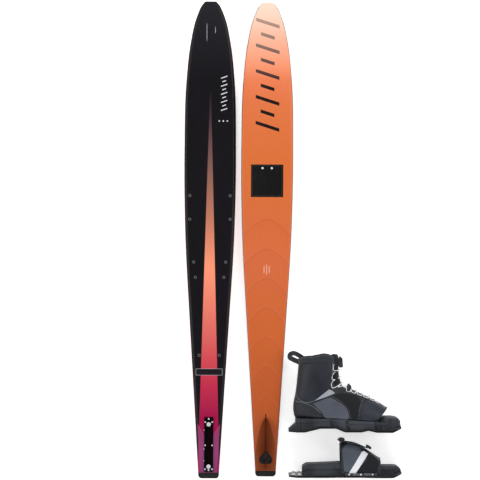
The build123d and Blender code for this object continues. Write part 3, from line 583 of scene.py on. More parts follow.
def base_finish(side):
    """Orange gradient base with soft arches, a plain dark square, generic bars and painted shade round the
    fin.
    """
    material, tree, shader = start_material(f"{side}_base_print", srgb(214, 109, 54), 0.3, specular=0.22)
    coordinates, across, distance = ski_axes(tree, ski_place(side))
    aside = calc(tree, "ABSOLUTE", across)
    half = half_width_node(tree, distance)
    colours = (
        (0, (252, 220, 200)), (60, (251, 207, 183)), (140, (249, 178, 148)), (215, (246, 152, 114)),
        (270, (234, 126, 82)), (350, (223, 116, 66)), (560, (216, 110, 54)), (900, (213, 107, 62)),
        (1150, (203, 100, 48)), (1400, (188, 89, 42)), (1640, (178, 87, 50)),
    )
    paint = ramp(tree, calc(tree, "DIVIDE", distance, SKI_LENGTH),
        [(s / SKI_LENGTH, srgb(*c)) for s, c in colours])
    share = calc(tree, "DIVIDE", aside, half)
    bow = calc(tree, "MULTIPLY", calc(tree, "POWER", share, 1.6), 60.0)
    step = calc(tree, "DIVIDE", calc(tree, "SUBTRACT", distance, calc(tree, "ADD", bow, 754.0)), 102.3)
    phase = calc(tree, "FRACT", step)
    inside = all_of(tree, calc(tree, "GREATER_THAN", step, 0.0), below(tree, step, 6.0, 0.01))
    shade = all_of(tree, inside, spread(tree, phase, 0.0, 0.5, 0.16, 0.0))
    paint = blend_colours(tree, shade, paint, srgb(196, 88, 52))
    line = all_of(tree, inside, spread(tree, phase, 0.0, 0.03, 0.5, 0.0))
    paint = blend_colours(tree, line, paint, srgb(158, 66, 34))
    glow = all_of(tree, inside, spread(tree, phase, 0.82, 1.0, 0.0, 0.09))
    paint = blend_colours(tree, glow, paint, srgb(232, 128, 98))
    bars = bar_row(tree, across, distance, 0.0, 41.0, 66.0, 470.0, 45.0, 12.0, 0.32)
    ink = ramp(tree, calc(tree, "DIVIDE", distance, 400.0),
        [(0.1, srgb(186, 150, 132)), (0.55, srgb(92, 66, 64)), (0.75, srgb(14, 11, 11))])
    paint = blend_colours(tree, bars, paint, ink)
    square = patch(tree, across, distance, (0.0, 621.0), 56.0, 56.5)
    paint = blend_colours(tree, square, paint, srgb(12, 11, 13))
    border = calc(tree, "SUBTRACT", patch(tree, across, distance, (0.0, 621.0), 52.0, 52.5),
                  patch(tree, across, distance, (0.0, 621.0), 51.2, 51.7))
    paint = blend_colours(tree, calc(tree, "MULTIPLY", border, 0.5), paint, srgb(90, 88, 90))
    for offset in (-16.0, 16.0):
        paint = blend_colours(tree, disc(tree, across, distance, (offset, 577.0), 3.6), paint,
            srgb(228, 228, 230))
    for offset, long in ((-9.0, 12.0), (0.0, 17.0), (9.0, 12.0)):
        mark = patch(tree, across, distance, (offset, 929.0), 2.0, long)
        paint = blend_colours(tree, calc(tree, "MULTIPLY", mark, 0.55), paint, srgb(244, 190, 168))
    # Painted shade: a darker pointed arch round the fin stands in for the shade of the tail's concave.
    depth = calc(tree, "SUBTRACT", distance, 1446.0)
    reach = calc(tree, "MULTIPLY", calc(tree, "SQRT", calc(tree, "MAXIMUM", depth, 0.0)), 3.3)
    arch = all_of(tree, below(tree, aside, reach, 1.0), spread(tree, depth, 0.0, 1.0))
    dark = ramp(tree, calc(tree, "DIVIDE", aside, 34.0), [(0.0, srgb(120, 56, 20)), (1.0, srgb(152, 72, 32))])
    paint = blend_colours(tree, arch, paint, dark)
    rim = spread(tree, calc(tree, "SUBTRACT", half, aside), 0.6, 3.2, 0.85, 0.0)
    paint = blend_colours(tree, rim, paint, srgb(88, 40, 24))
    scuffs = faint_wear(tree, coordinates)
    paint = blend_colours(tree, spread(tree, scuffs, 0.62, 0.8, 0.0, 0.1), paint, srgb(255, 236, 222))
    paint_with(tree, shader, paint)
    tree.links.new(spread(tree, scuffs, 0.3, 0.8, 0.24, 0.42), shader.inputs["Roughness"])
    shader.inputs["Coat Weight"].default_value = 0.12
    shader.inputs["Coat Roughness"].default_value = 0.16
    bump(tree, shader, scuffs, 0.00008, 0.5)
    return material


def deck_finish(side):
    """Near-black deck with a centre stripe that widens to the tail, purple round the fin box."""
    material, tree, shader = start_material(f"{side}_deck_print", srgb(20, 17, 22), 0.35, specular=0.14)
    coordinates, across, distance = ski_axes(tree, ski_place(side))
    aside = calc(tree, "ABSOLUTE", across)
    half = half_width_node(tree, distance)
    ground = ramp(tree, calc(tree, "DIVIDE", distance, 600.0),
                  [(0.0, srgb(36, 36, 40)), (0.2, srgb(27, 27, 31)), (0.45, srgb(13, 11, 15)),
                  (1.0, srgb(12, 10, 14))])
    haze = noise(tree, stretched(tree, coordinates, (9, 2.4, 9)), 2.2, 2.0)
    ground = blend_colours(tree, spread(tree, haze, 0.45, 0.75, 0.0, 0.3), ground, srgb(26, 15, 29))
    stripe_colours = (
        (300, (30, 26, 33)), (400, (66, 45, 58)), (570, (127, 90, 82)), (740, (186, 118, 94)),
        (930, (255, 152, 117)),
        (1110, (226, 114, 101)), (1240, (209, 73, 83)), (1330, (191, 45, 75)), (1440, (160, 16, 71)),
        (1560, (150, 18, 78)),
    )
    stripe = ramp(tree, calc(tree, "DIVIDE", distance, SKI_LENGTH),
        [(s / SKI_LENGTH, srgb(*c)) for s, c in stripe_colours])
    reach = calc(tree, "MULTIPLY_ADD", distance, 0.0272, 1.5 - 301 * 0.0272)
    in_stripe = all_of(tree, below(tree, aside, reach, 0.5), spread(tree, distance, 301.0, 330.0))
    paint = blend_colours(tree, in_stripe, ground, stripe)
    tail_line = calc(tree, "MULTIPLY_ADD", aside, -1.6, 1528.0)
    in_deck = below(tree, aside, calc(tree, "SUBTRACT", half, 7.5), 0.6)
    tail = all_of(tree, in_deck, below(tree, tail_line, distance, 1.0))
    violet = ramp(tree, calc(tree, "DIVIDE", distance, SKI_LENGTH),
                  [(0.88, srgb(146, 50, 94)), (0.95, srgb(146, 64, 116)), (1.0, srgb(124, 56, 98))])
    paint = blend_colours(tree, tail, paint, violet)
    crest = all_of(tree, in_deck, spread(tree,
        calc(tree, "ABSOLUTE", calc(tree, "SUBTRACT", distance, tail_line)), 0.5, 2.0, 0.6, 0.0),
                   spread(tree, aside, 14.0, 18.0))
    paint = blend_colours(tree, crest, paint, srgb(196, 92, 132))
    bars = bar_row(tree, across, distance, 47.5, 11.0, 258.0, 380.0, 14.0, 3.6, 0.35, 0.3)
    marks = bars
    for offset in (-14.0, 0.0, 14.0):
        marks = calc(tree, "MAXIMUM", marks, disc(tree, across, distance, (45.0 + offset, 412.0), 2.6))
    paint = blend_colours(tree, calc(tree, "MULTIPLY", marks, 0.92), paint, srgb(232, 232, 236))
    badge = patch(tree, across, distance, (0.0, 1284.5), 46.0, 11.5, 0.5)
    inner = patch(tree, across, distance, (0.0, 1284.5), 45.0, 10.5, 0.5)
    paint = blend_colours(tree, badge, paint, srgb(176, 176, 182))
    paint = blend_colours(tree, inner, paint, srgb(24, 22, 27))
    weft = weave(tree, coordinates, 0.0016)
    paint = blend_colours(tree, calc(tree, "MULTIPLY", weft, 0.03), paint, srgb(70, 68, 78))
    paint_with(tree, shader, paint)
    scuffs = faint_wear(tree, coordinates)
    tree.links.new(spread(tree, scuffs, 0.3, 0.8, 0.27, 0.46), shader.inputs["Roughness"])
    shader.inputs["Coat Weight"].default_value = 0.05
    shader.inputs["Coat Roughness"].default_value = 0.12
    bump(tree, shader, scuffs, 0.00006, 0.4)
    return material


def sidewall_finish():
    """Black foam core seen in the box and along the edge."""
    material, tree, shader = start_material("ski_core_foam", srgb(26, 22, 22), 0.75, specular=0.15)
    coordinates, _ = place_of(tree)
    pores = cells(tree, coordinates, 900)
    tree.links.new(ramp(tree, pores, [(0.0, srgb(14, 12, 12)), (0.4, srgb(32, 28, 28))]),
        shader.inputs["Base Color"])
    bump(tree, shader, pores, 0.0003)
    return material


def moulded_finish(name, dark, light, grain=700, roughness=0.5, specular=0.25):
    """Moulded plastic or rubber: fine grain, faint colour drift, lighter worn edges."""
    material, tree, shader = start_material(name, dark, roughness, specular=specular)
    coordinates, _ = place_of(tree)
    drift = noise(tree, coordinates, 14, 4.0)
    paint = ramp(tree, drift, [(0.3, dark), (0.75, light)])
    paint = blend_colours(tree, calc(tree, "MULTIPLY", edge_wear(tree), 0.25), paint, srgb(104, 106, 112))
    paint_with(tree, shader, paint)
    speckle = noise(tree, coordinates, grain, 2.0)
    tree.links.new(spread(tree, speckle, 0.3, 0.7, roughness - 0.08, roughness + 0.1),
        shader.inputs["Roughness"])
    bump(tree, shader, speckle, 0.00015, 0.5)
    return material


def metal_finish(name, colour, lighter, roughness=0.3, stretch=(1, 40, 1), worn=True):
    """Machined or brushed metal with a fine directional grain and bright worn edges."""
    material, tree, shader = start_material(name, colour, roughness, metallic=1.0)
    coordinates, _ = place_of(tree)
    grain = noise(tree, stretched(tree, coordinates, stretch), 160, 4.0, 0.7)
    paint = ramp(tree, grain, [(0.3, colour), (0.8, lighter)])
    if worn:
        paint = blend_colours(tree, calc(tree, "MULTIPLY", edge_wear(tree), 0.6), paint, srgb(190, 192, 198))
    paint_with(tree, shader, paint)
    tree.links.new(spread(tree, grain, 0.2, 0.8, roughness - 0.07, roughness + 0.12),
        shader.inputs["Roughness"])
    bump(tree, shader, grain, 0.00004, 0.4)
    return material


def tip_ridge_painted_highlight_finish():
    """Pale finish for the moulded ridges near the tip: a painted highlight, standing in for the light the
    black ridges reflect.
    """
    material, tree, shader = start_material("ski_tip_ridge_painted_highlight", srgb(190, 192, 200), 0.3)
    coordinates, _ = place_of(tree)
    drift = noise(tree, coordinates, 60, 3.0)
    tree.links.new(ramp(tree, drift, [(0.3, srgb(150, 152, 160)), (0.7, srgb(205, 207, 214))]),
        shader.inputs["Base Color"])
    return material


SKI_FINISHES = {
    "core": sidewall_finish(),
    "guard": moulded_finish("tail_guard_rubber", srgb(14, 14, 15), srgb(30, 30, 32), roughness=0.55),
    # Pale finish of the tip ridges: painted highlight.
    "line": tip_ridge_painted_highlight_finish(),
}
for ski_side in ("left", "right"):
    make_ski(ski_side, {**SKI_FINISHES, "base": base_finish(ski_side), "deck": deck_finish(ski_side)})


# ---------- soft and moulded finishes of the bindings ----------
def coated_fabric_finish(name, dark, light, pitch=0.0013, roughness=0.4):
    """Coated woven fabric with a soft sheen and faint creases."""
    material, tree, shader = start_material(name, dark, roughness, specular=0.22)
    coordinates, _ = place_of(tree)
    threads = weave(tree, coordinates, pitch)
    drift = noise(tree, coordinates, 9, 3.0, 0.5)
    paint = ramp(tree, drift, [(0.15, dark), (0.9, light)])
    paint = blend_colours(tree, calc(tree, "MULTIPLY", threads, 0.16), paint, light)
    paint_with(tree, shader, paint)
    tree.links.new(spread(tree, drift, 0.3, 0.7, roughness - 0.1, roughness + 0.12),
        shader.inputs["Roughness"])
    shader.inputs["Sheen Weight"].default_value = 0.05
    creases = noise(tree, stretched(tree, coordinates, (1, 1.8, 1)), 70, 3.0)
    relief = calc(tree, "MULTIPLY_ADD", threads, 0.35, creases)
    bump(tree, shader, relief, 0.0004, 0.4)
    return material


def leather_finish(name, dark, light, roughness=0.42):
    """Smooth synthetic leather: pebbled grain, soft highlights."""
    material, tree, shader = start_material(name, dark, roughness, specular=0.34)
    coordinates, _ = place_of(tree)
    drift = noise(tree, coordinates, 8, 3.0, 0.5)
    pebbles = cells(tree, coordinates, 620)
    paint = ramp(tree, drift, [(0.15, dark), (0.9, light)])
    paint = blend_colours(tree, spread(tree, pebbles, 0.0, 0.12, 0.35, 0.0), paint, srgb(12, 13, 16))
    paint_with(tree, shader, paint)
    tree.links.new(spread(tree, drift, 0.3, 0.7, roughness - 0.08, roughness + 0.14),
        shader.inputs["Roughness"])
    bump(tree, shader, spread(tree, pebbles, 0.0, 0.2), 0.00025, 0.6)
    return material


def neoprene_finish(name, dark, light):
    """Knit-faced neoprene with a fine fuzzy rib."""
    material, tree, shader = start_material(name, dark, 0.85, specular=0.25)
    coordinates, _ = place_of(tree)
    rib = weave(tree, coordinates, 0.0009)
    drift = noise(tree, coordinates, 30, 4.0)
    paint = blend_colours(tree, rib, dark, light)
    paint = blend_colours(tree, spread(tree, drift, 0.4, 0.75, 0.0, 0.4), paint, light)
    paint_with(tree, shader, paint)
    shader.inputs["Sheen Weight"].default_value = 0.25
    bump(tree, shader, calc(tree, "MULTIPLY_ADD", rib, 0.4, drift), 0.0006, 0.5)
    return material


def rib_foam_finish(name, dark, light, pitch=0.0052):
    """Moulded foam with thin grooves along the foot, painted near-black inside as painted shade, and a
    closed-cell skin.
    """
    material, tree, shader = start_material(name, dark, 0.62, specular=0.3)
    coordinates, (_, _, z) = place_of(tree)
    groove = spread(tree, calc(tree, "PINGPONG", z, pitch / 2), 0.0, pitch * 0.14)
    skin = cells(tree, coordinates, 1100)
    drift = noise(tree, coordinates, 18, 3.0)
    paint = ramp(tree, drift, [(0.3, dark), (0.75, light)])
    # Painted shade: the grooves are painted near-black.
    paint = blend_colours(tree, groove, srgb(16, 17, 19), paint)
    paint_with(tree, shader, paint)
    bump(tree, shader, calc(tree, "MULTIPLY_ADD", skin, 0.15, groove), 0.0006, 0.6)
    return material


def lace_finish(name, dark, light):
    """Braided cord."""
    material, tree, shader = start_material(name, light, 0.6, specular=0.3)
    coordinates, _ = place_of(tree)
    braid = weave(tree, coordinates, 0.0011)
    tree.links.new(ramp(tree, braid, [(0.2, dark), (0.7, light)]), shader.inputs["Base Color"])
    bump(tree, shader, braid, 0.0004, 0.6)
    return material


def webbing_finish():
    """Black ribbed nylon webbing."""
    material, tree, shader = start_material("black_webbing", srgb(20, 21, 24), 0.55, specular=0.4)
    coordinates, (_, _, z) = place_of(tree)
    cords = calc(tree, "PINGPONG", z, 0.0008)
    rib = spread(tree, cords, 0.0, 0.0008)
    fuzz = noise(tree, coordinates, 420, 2.0)
    tree.links.new(ramp(tree, rib, [(0.0, srgb(10, 10, 12)), (0.8, srgb(40, 42, 47))]),
        shader.inputs["Base Color"])
    shader.inputs["Sheen Weight"].default_value = 0.3
    bump(tree, shader, calc(tree, "MULTIPLY_ADD", fuzz, 0.3, rib), 0.0005, 0.7)
    return material


DARK_SKIN = leather_finish("dark_upper", srgb(20, 23, 27), srgb(40, 44, 50), 0.36)
GREY_PANEL = coated_fabric_finish("grey_blue_panel", srgb(28, 30, 37), srgb(48, 51, 60))
TOE_PANEL = coated_fabric_finish("toe_panel", srgb(52, 57, 66), srgb(82, 89, 100))
# Lighter grey mid panel; its light tone is partly a painted highlight.
MID_PANEL = coated_fabric_finish("mid_panel", srgb(54, 58, 66), srgb(94, 98, 110), roughness=0.32)
VAMP_PANEL = coated_fabric_finish("vamp_panel", srgb(31, 34, 41), srgb(53, 58, 69))
MESH_PANEL = coated_fabric_finish("black_mesh", srgb(13, 14, 17), srgb(28, 30, 35), 0.0022, 0.7)
ACCENT = leather_finish("pale_accent", srgb(150, 153, 166), srgb(182, 184, 196), 0.36)
NEOPRENE = neoprene_finish("neoprene", srgb(18, 20, 24), srgb(44, 47, 55))
COLLAR_CLOTH = neoprene_finish("collar_cloth", srgb(24, 27, 31), srgb(46, 50, 57))
FOAM = rib_foam_finish("sole_foam", srgb(38, 41, 46), srgb(66, 70, 77))
LACE = lace_finish("white_braid", srgb(188, 190, 198), srgb(244, 244, 247))
DARK_LACE = lace_finish("dark_braid", srgb(22, 23, 26), srgb(62, 65, 71))
WEBBING = webbing_finish()
PIPING = moulded_finish("rubber_piping", srgb(86, 90, 98), srgb(130, 134, 142), roughness=0.35)
THREAD = moulded_finish("pale_thread", srgb(112, 116, 126), srgb(150, 154, 162), roughness=0.5)
BLACK_PLASTIC = moulded_finish("black_plastic", srgb(20, 21, 23), srgb(46, 48, 52), roughness=0.38)
WHITE_PRINT = coated_fabric_finish("white_print", srgb(206, 210, 218), srgb(236, 238, 242), 0.0013, 0.45)


# ---------- shapes on the bindings ----------
def binding_place(plate):
    """The binding's own axes: u forward, v up from the sole, w to the side that faces up."""
    low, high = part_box(plate)
    return Matrix.Translation((low.x, low.y, (low.z + high.z) / 2))


BOOT = binding_place("boot_plate")
TOE = binding_place("toe_plate")


def flexes(obj):
    """Moves the piece's place into its mesh."""
    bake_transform(obj)


# ring: front u, v; back u, v; half width; share of the round ankle profile; half width of the front opening
UPPER_RINGS = (
    (340, 81, 300, 35, 49, 0, 0), (312, 99, 262, 38, 53, 0, 0), (283, 114, 225, 41, 53, 0, 0),
    (249, 130, 180, 44, 50, 0, 0), (222, 142.5, 130, 45, 46, 0.1, 0), (202, 146.5, 85, 45, 43, 0.25, 0),
    (187, 154, 46, 45, 42, 0.5, 2), (181, 158, 24, 46, 41, 0.75, 16), (177, 167, 17, 70, 40, 0.95, 24),
    (174, 179, 17, 96, 41, 1, 27), (171, 193, 23, 126, 43, 1, 28), (170, 208, 27, 152, 46, 1, 28),
    (169, 225, 31, 190, 48, 1, 28), (169, 240, 35, 232, 50, 1, 29),
)
ANKLE_PROFILE = (
    (0, 1, 0), (0.1, 0.985, 0.28), (0.2, 0.94, 0.5), (0.32, 0.84, 0.74), (0.45, 0.68, 0.93),
    (0.58, 0.5, 1), (0.7, 0.32, 0.94), (0.82, 0.14, 0.72), (0.92, 0.03, 0.38), (1, 0, 0),
)
FOREFOOT_PROFILE = (
    (0, 1, 0), (0.1, 0.985, 0.2), (0.2, 0.93, 0.42), (0.32, 0.8, 0.66), (0.45, 0.6, 0.85),
    (0.56, 0.38, 0.96), (0.66, 0.18, 1), (0.74, 0.05, 0.97), (0.8, 0, 0.88), (0.9, 0, 0.45), (1, 0, 0),
)


def ring_at(position, inset=0.0, columns=30, ignore_slot=False):
    """One ring of the upper, from one front edge round the back to the other."""
    table = [(index, *row) for index, row in enumerate(UPPER_RINGS)]
    fu, fv, bu, bv, half, round_share, slot = smooth_curve(table, position)
    front, back = np.array([fu, fv]), np.array([bu, bv])
    reach = np.linalg.norm(front - back)
    step = (front - back) / reach
    front, back, half = front - step * inset, back + step * inset, half - inset
    dense = np.linspace(0, 1, 240)
    mixed = round_share * smooth_curve(ANKLE_PROFILE,
        dense) + (1 - round_share) * smooth_curve(FOREFOOT_PROFILE, dense)
    out = mixed[:, 1] * half
    first = 0 if ignore_slot or slot < 1 else float(np.interp(slot, np.maximum.accumulate(out[:110]),
        dense[:110]))
    shares = np.linspace(first, 1, columns)
    t = np.interp(shares, dense, mixed[:, 0])
    w = np.interp(shares, dense, out)
    u = back[0] + (front[0] - back[0]) * t
    v = back[1] + (front[1] - back[1]) * t
    near = [(u[k], v[k], w[k]) for k in range(columns)]
    far = [(x, y, -z) for x, y, z in near[-2::-1]]
    return near + far


def upper_skin(first, last, rows, inset=0.0, columns=30):
    rings = [ring_at(position, inset, columns) for position in np.linspace(first, last, rows)]
    return loft(rings, closed_ring=False, capped=False)


def thicken(obj, thickness, offset=-1.0):
    modifier = obj.modifiers.new("wall", "SOLIDIFY")
    modifier.thickness = thickness * MM
    modifier.offset = offset
    apply_modifier(obj, modifier)
    tidy_normals(obj, 50)
    return obj


def outward(obj):
    """Turns an open skin's faces to look away from the binding's middle plane."""
    work = bmesh.new()
    work.from_mesh(obj.data)
    bmesh.ops.recalc_face_normals(work, faces=work.faces)
    side = sum(1 if face.calc_center_median().z * face.normal.z > 0 else -1 for face in work.faces)
    if side < 0:
        bmesh.ops.reverse_faces(work, faces=work.faces)
    work.to_mesh(obj.data)
    work.free()


def surface_tree(vertices, faces):
    return BVHTree.FromPolygons([Vector(v) for v in vertices], faces)


UPPER_TREE = surface_tree(*upper_skin(0, 13, 90, columns=46))


def on_surface(tree, u, v, side, lift):
    """The point of the skin seen at u, v from one side, lifted off it; None where there is no skin."""
    hit, normal, _, _ = tree.ray_cast(Vector((u, v, 160 * side)), Vector((0, 0, -side)))
    if hit is None:
        return None
    if normal.z * side < 0:
        normal = -normal
    return hit + normal * lift


def nearest_surface(tree, u, v, side, lift):
    point = on_surface(tree, u, v, side, lift)
    if point is None:
        hit, _, _, _ = tree.find_nearest(Vector((u, v, 12 * side)))
        away = Vector((u, v, 30 * side)) - hit
        point = hit + away.normalized() * lift
    return point


def straight_path(points, count):
    """Evenly spaced points along straight runs."""
    points = np.array(points, float)
    run = np.concatenate([[0], np.cumsum(np.linalg.norm(np.diff(points, axis=0), axis=1))])
    return np.column_stack([np.interp(np.linspace(0, run[-1], count), run, points[:, axis]) for axis in (0,
        1)])


def panel(name, tree, outline, side, material, place, height=1.3, path=smooth_path):
    """A sewn-on panel: its outline laid on the skin, raised, with a soft edge."""
    border = path([*outline, outline[0]], 105)[:-1]
    centre = border.mean(axis=0)
    rings = []
    for share, lift in ((1.0, -0.8), (1.0, 0.35 * height), (0.992, 0.8 * height), (0.975, height),
        (0.9, height),
                        (0.8, height), (0.66, height), (0.5, height), (0.34, height), (0.18, height),
                        (0.03, height)):
        ring = [nearest_surface(tree, *(centre + (point - centre) * share), side, lift) for point in border]
        rings.append([tuple(point) for point in ring])
    vertices, faces = loft(rings, capped=False)
    faces.append(tuple(range(len(vertices) - len(border), len(vertices))))
    return make_piece(name, vertices, faces, material, place)


def tube_along(points, radius, sides=8, flat=1.0):
    """Rings of a tube along points."""
    points = np.array(points, float)
    tangents = np.gradient(points, axis=0)
    tangents /= np.linalg.norm(tangents, axis=1)[:, None]
    side = np.cross(tangents[0], (0.13, 0.31, 0.94))
    rings = []
    for point, tangent in zip(points, tangents):
        side = side - tangent * side.dot(tangent)
        side /= np.linalg.norm(side)
        other = np.cross(tangent, side)
        rings.append([tuple(point + radius * (math.cos(a) * side + flat * math.sin(a) * other))
                      for a in [2 * math.pi * k / sides for k in range(sides)]])
    return loft(rings)


def seam_line(tree, path, side, lift, count=60):
    """A path laid on the skin."""
    return [tuple(nearest_surface(tree, u, v, side, lift)) for u, v in smooth_path(path, count)]


def stitch_row(tree, path, side, spacing=4.2):
    """Short raised threads along a path on the skin."""
    length = sum(math.dist(a, b) for a, b in zip(path, path[1:]))
    points = seam_line(tree, path, side, 0.25, max(4, 2 * int(length / spacing)))
    parts = []
    for start, end in zip(points[0::2], points[1::2]):
        middle = tuple((a + b) / 2 for a, b in zip(start, end))
        parts.append(tube_along([start, middle, end], 0.42, 6))
    return join_meshes(parts)


def torus_mesh(centre, normal, radius, thick, sides=18, around=8):
    normal = Vector(normal).normalized()
    across = normal.orthogonal().normalized()
    other = normal.cross(across)
    path = [Vector(centre) + radius * (math.cos(t) * across + math.sin(t) * other)
            for t in [2 * math.pi * k / sides for k in range(sides)]]
    rings = []
    for point in path:
        outward_axis = (point - Vector(centre)).normalized()
        rings.append([tuple(point + thick * (math.cos(a) * outward_axis + math.sin(a) * normal))
                      for a in [2 * math.pi * k / around for k in range(around)]])
    rings.append(rings[0])
    return loft(rings, capped=False)


def inflate(obj, cap, pressure=4.0, voxel=4.0):
    """Fills a padded piece like cloth under pressure, with each point's travel capped, then smooths it."""
    remesh = obj.modifiers.new("even", "REMESH")
    remesh.mode = "VOXEL"
    remesh.voxel_size = voxel * MM
    apply_modifier(obj, remesh)
    before = np.array([v.co for v in obj.data.vertices])
    cloth = obj.modifiers.new("cloth", "CLOTH")
    cloth.settings.use_pressure = True
    cloth.settings.uniform_pressure_force = pressure
    cloth.settings.effector_weights.gravity = 0
    cloth.settings.tension_stiffness = 18
    cloth.settings.compression_stiffness = 18
    scene = bpy.context.scene
    for frame_number in range(1, 15):
        scene.frame_set(frame_number)
    graph = bpy.context.evaluated_depsgraph_get()
    after = np.array([v.co for v in obj.evaluated_get(graph).data.vertices])
    obj.modifiers.remove(cloth)
    scene.frame_set(1)
    move = after - before
    reach = np.linalg.norm(move, axis=1)[:, None]
    move *= np.minimum(1, cap * MM / np.maximum(reach, 1e-9))
    obj.data.vertices.foreach_set("co", (before + move).ravel())
    smooth = obj.modifiers.new("soft", "SMOOTH")
    smooth.iterations = 4
    apply_modifier(obj, smooth)
    rounder = obj.modifiers.new("rounder", "SUBSURF")
    rounder.levels = 1
    apply_modifier(obj, rounder)
    tidy_normals(obj, 70)
    return obj


# ---------- the boot ----------
def make_upper():
    upper = make_piece("boot_upper", *upper_skin(0, 13, 84, columns=40), DARK_SKIN, BOOT)
    outward(upper)
    thicken(upper, 3.6)
    flexes(upper)
    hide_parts("boot_shell", "boot_cuff")
    liner = make_piece("boot_inner_liner", *upper_skin(1.0, 12.6, 50, 4.3), NEOPRENE, BOOT)
    outward(liner)
    thicken(liner, 2.6)
    flexes(liner)
    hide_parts("boot_liner")
    lip = tube_along(smooth_path(ring_at(0.02, -0.4)[::2], 80), 1.7)
    rim = make_piece("boot_toe_rim", *lip, BLACK_PLASTIC, BOOT)
    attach(rim, "boot")


SIDE_PANELS = (
    ("cuff_panel", GREY_PANEL, 1.4, ((64, 234), (100, 236), (136, 237), (146, 218), (149, 192), (148, 166),
    (139, 148),
                                     (114, 130), (88, 111), (62, 105), (46, 113), (38, 136), (41, 166),
                                     (47, 196), (56, 222))),
    ("heel_panel", DARK_SKIN, 1.5, ((30, 96), (52, 98), (80, 88), (112, 66), (116, 52), (96, 48), (60, 47),
    (30, 48), (24, 62), (24, 82))),
    ("mid_panel", MID_PANEL, 1.1, ((84, 97), (112, 108), (140, 116), (168, 101), (194, 82), (203, 64),
    (206, 49), (160, 47), (124, 50),
                                    (114, 68), (98, 82))),
    ("vamp_panel", VAMP_PANEL, 1.4, ((266, 108), (286, 103), (310, 92), (329, 79), (314, 54), (299, 39),
    (270, 41), (254, 43), (250, 60),
                                     (256, 84))),
    ("instep_panel", MESH_PANEL, 0.9, ((152, 124), (176, 132), (206, 133), (232, 124), (246, 108), (240, 74),
    (233, 46), (216, 47),
                                       (208, 72), (190, 96))),
    ("accent", ACCENT, 2.4, ((88, 106), (139, 146), (150, 141), (160, 132), (134, 122))),
)


def make_side_panels():
    for side, label in ((1, "near"), (-1, "far")):
        for name, finish, height, outline in SIDE_PANELS:
            path = straight_path if name == "accent" else smooth_path
            piece = panel(f"boot_{name}_{label}", UPPER_TREE, outline, side, finish, BOOT, height, path)
            flexes(piece)
        pipes = join_meshes([
            tube_along(seam_line(UPPER_TREE, path, side, 1.6), 1.1)
            for path in (((26, 104), (52, 99), (82, 88), (111, 65)),
            ((28, 126), (36, 112), (60, 101), (88, 106)),
                         ((141, 117), (168, 102), (196, 82), (206, 50)), ((150, 238), (150, 214), (149, 190)))
        ])
        piece = make_piece(f"boot_piping_{label}", *pipes, PIPING, BOOT)
        flexes(piece)
        rows = join_meshes([
            stitch_row(UPPER_TREE, path, side)
            for path in (((142, 232), (151, 196), (152, 168)), ((256, 112), (244, 84), (240, 50)),
            ((212, 50), (204, 78), (180, 104), (152, 120)),
                         ((28, 100), (54, 103), (88, 94), (118, 70)))
        ])
        piece = make_piece(f"boot_stitches_{label}", *rows, THREAD, BOOT)
        flexes(piece)


def collar_ring(share, lift):
    """A point of the collar's path: share runs from one front edge round the back to the other."""
    ring = np.array(ring_at(12.6, -lift, 40))
    low = np.array(ring_at(13, -lift, 40))
    position = share * (len(ring) - 1)
    return np.array([np.interp(position, range(len(low)), low[:, axis]) for axis in range(3)])


COLLAR_TOP = ((30, 255), (45, 257), (66, 259), (84, 260), (106, 264), (130, 268), (148, 264), (170, 262))


def make_collar():
    """The padded collar: a soft roll round the ankle opening, higher at the sides."""
    rings = []
    for share in np.linspace(0.0, 1.0, 60):
        path = collar_ring(share, 0)
        centre = np.array([100.0, 0.0])
        away = np.array([path[0], path[2]]) - centre
        away /= np.linalg.norm(away)
        top = float(smooth_curve(COLLAR_TOP, path[0])[0])
        low = 236 if path[0] > 60 else 229 + 7 * max(0, path[0] - 35) / 25
        middle = (top + low) / 2
        section = ((0.2, low), (2.2, low + 5), (3.0, middle), (1.8, top - 6), (-1.5, top - 1), (-5, top),
                   (-8.5, top - 3), (-10, middle), (-9.5, low), (-8.5, low - 8), (-5.5, low - 8),
                   (-4.3, low - 1))
        rings.append([(centre[0] + (path[0] - 100) + away[0] * out, height, path[2] + away[1] * out) for out,
            height in section])
    collar = make_piece("boot_padded_collar", *loft(rings), COLLAR_CLOTH, BOOT)
    inflate(collar, 2.0)
    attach(collar, "boot_cuff")
    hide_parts("boot_collar")


def make_tongue():
    """The padded tongue behind the laces."""
    rings = []
    for position in np.linspace(6.6, 13.6, 34):
        inside = min(position, 13)
        ring = ring_at(inside, 1.0, 60, ignore_slot=True)
        inner = ring_at(inside, 8.5, 60, ignore_slot=True)
        rise = 26 * max(0, position - 13) / 0.6
        lean = -1.5 * max(0, position - 13) / 0.6
        reach = 15 if position > 8 else 9 + 6 * (position - 6.6) / 1.4
        picks = np.linspace(-reach, reach, 15)

        def pick(source, k):
            point = source[int(round(abs(k)))]
            forward = 5 * (1 - (k / reach) ** 2)
            return (point[0] + lean + forward, point[1] + rise,
                math.copysign(point[2], k) if abs(k) > 0.5 else 0.0)

        rings.append([pick(ring, k) for k in picks] + [pick(inner, k) for k in picks[::-1]])
    tongue = make_piece("boot_padded_tongue", *loft(rings), MESH_PANEL, BOOT)
    inflate(tongue, 1.6)
    flexes(tongue)
    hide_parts("boot_tongue")


def front_surface(position, half):
    """A point on the upper's front at a ring position and a distance to one side."""
    ring = np.array(ring_at(position, 0, 80, ignore_slot=True))[:80]
    k = int(np.searchsorted(np.maximum.accumulate(ring[:40, 2]), abs(half)))
    point = ring[min(k, 39)]
    return np.array([point[0], point[1], half])


def lace_path(steps, lift):
    """Points of a lace: each step is a ring position, a side distance and an extra lift."""
    points = []
    for position, half, extra in steps:
        point = front_surface(position, half)
        away = point - np.array([95, point[1] - 25, 0])
        away = away / np.linalg.norm(away)
        points.append(point + away * (lift + extra))
    return smooth_path(points, 14 * len(points))


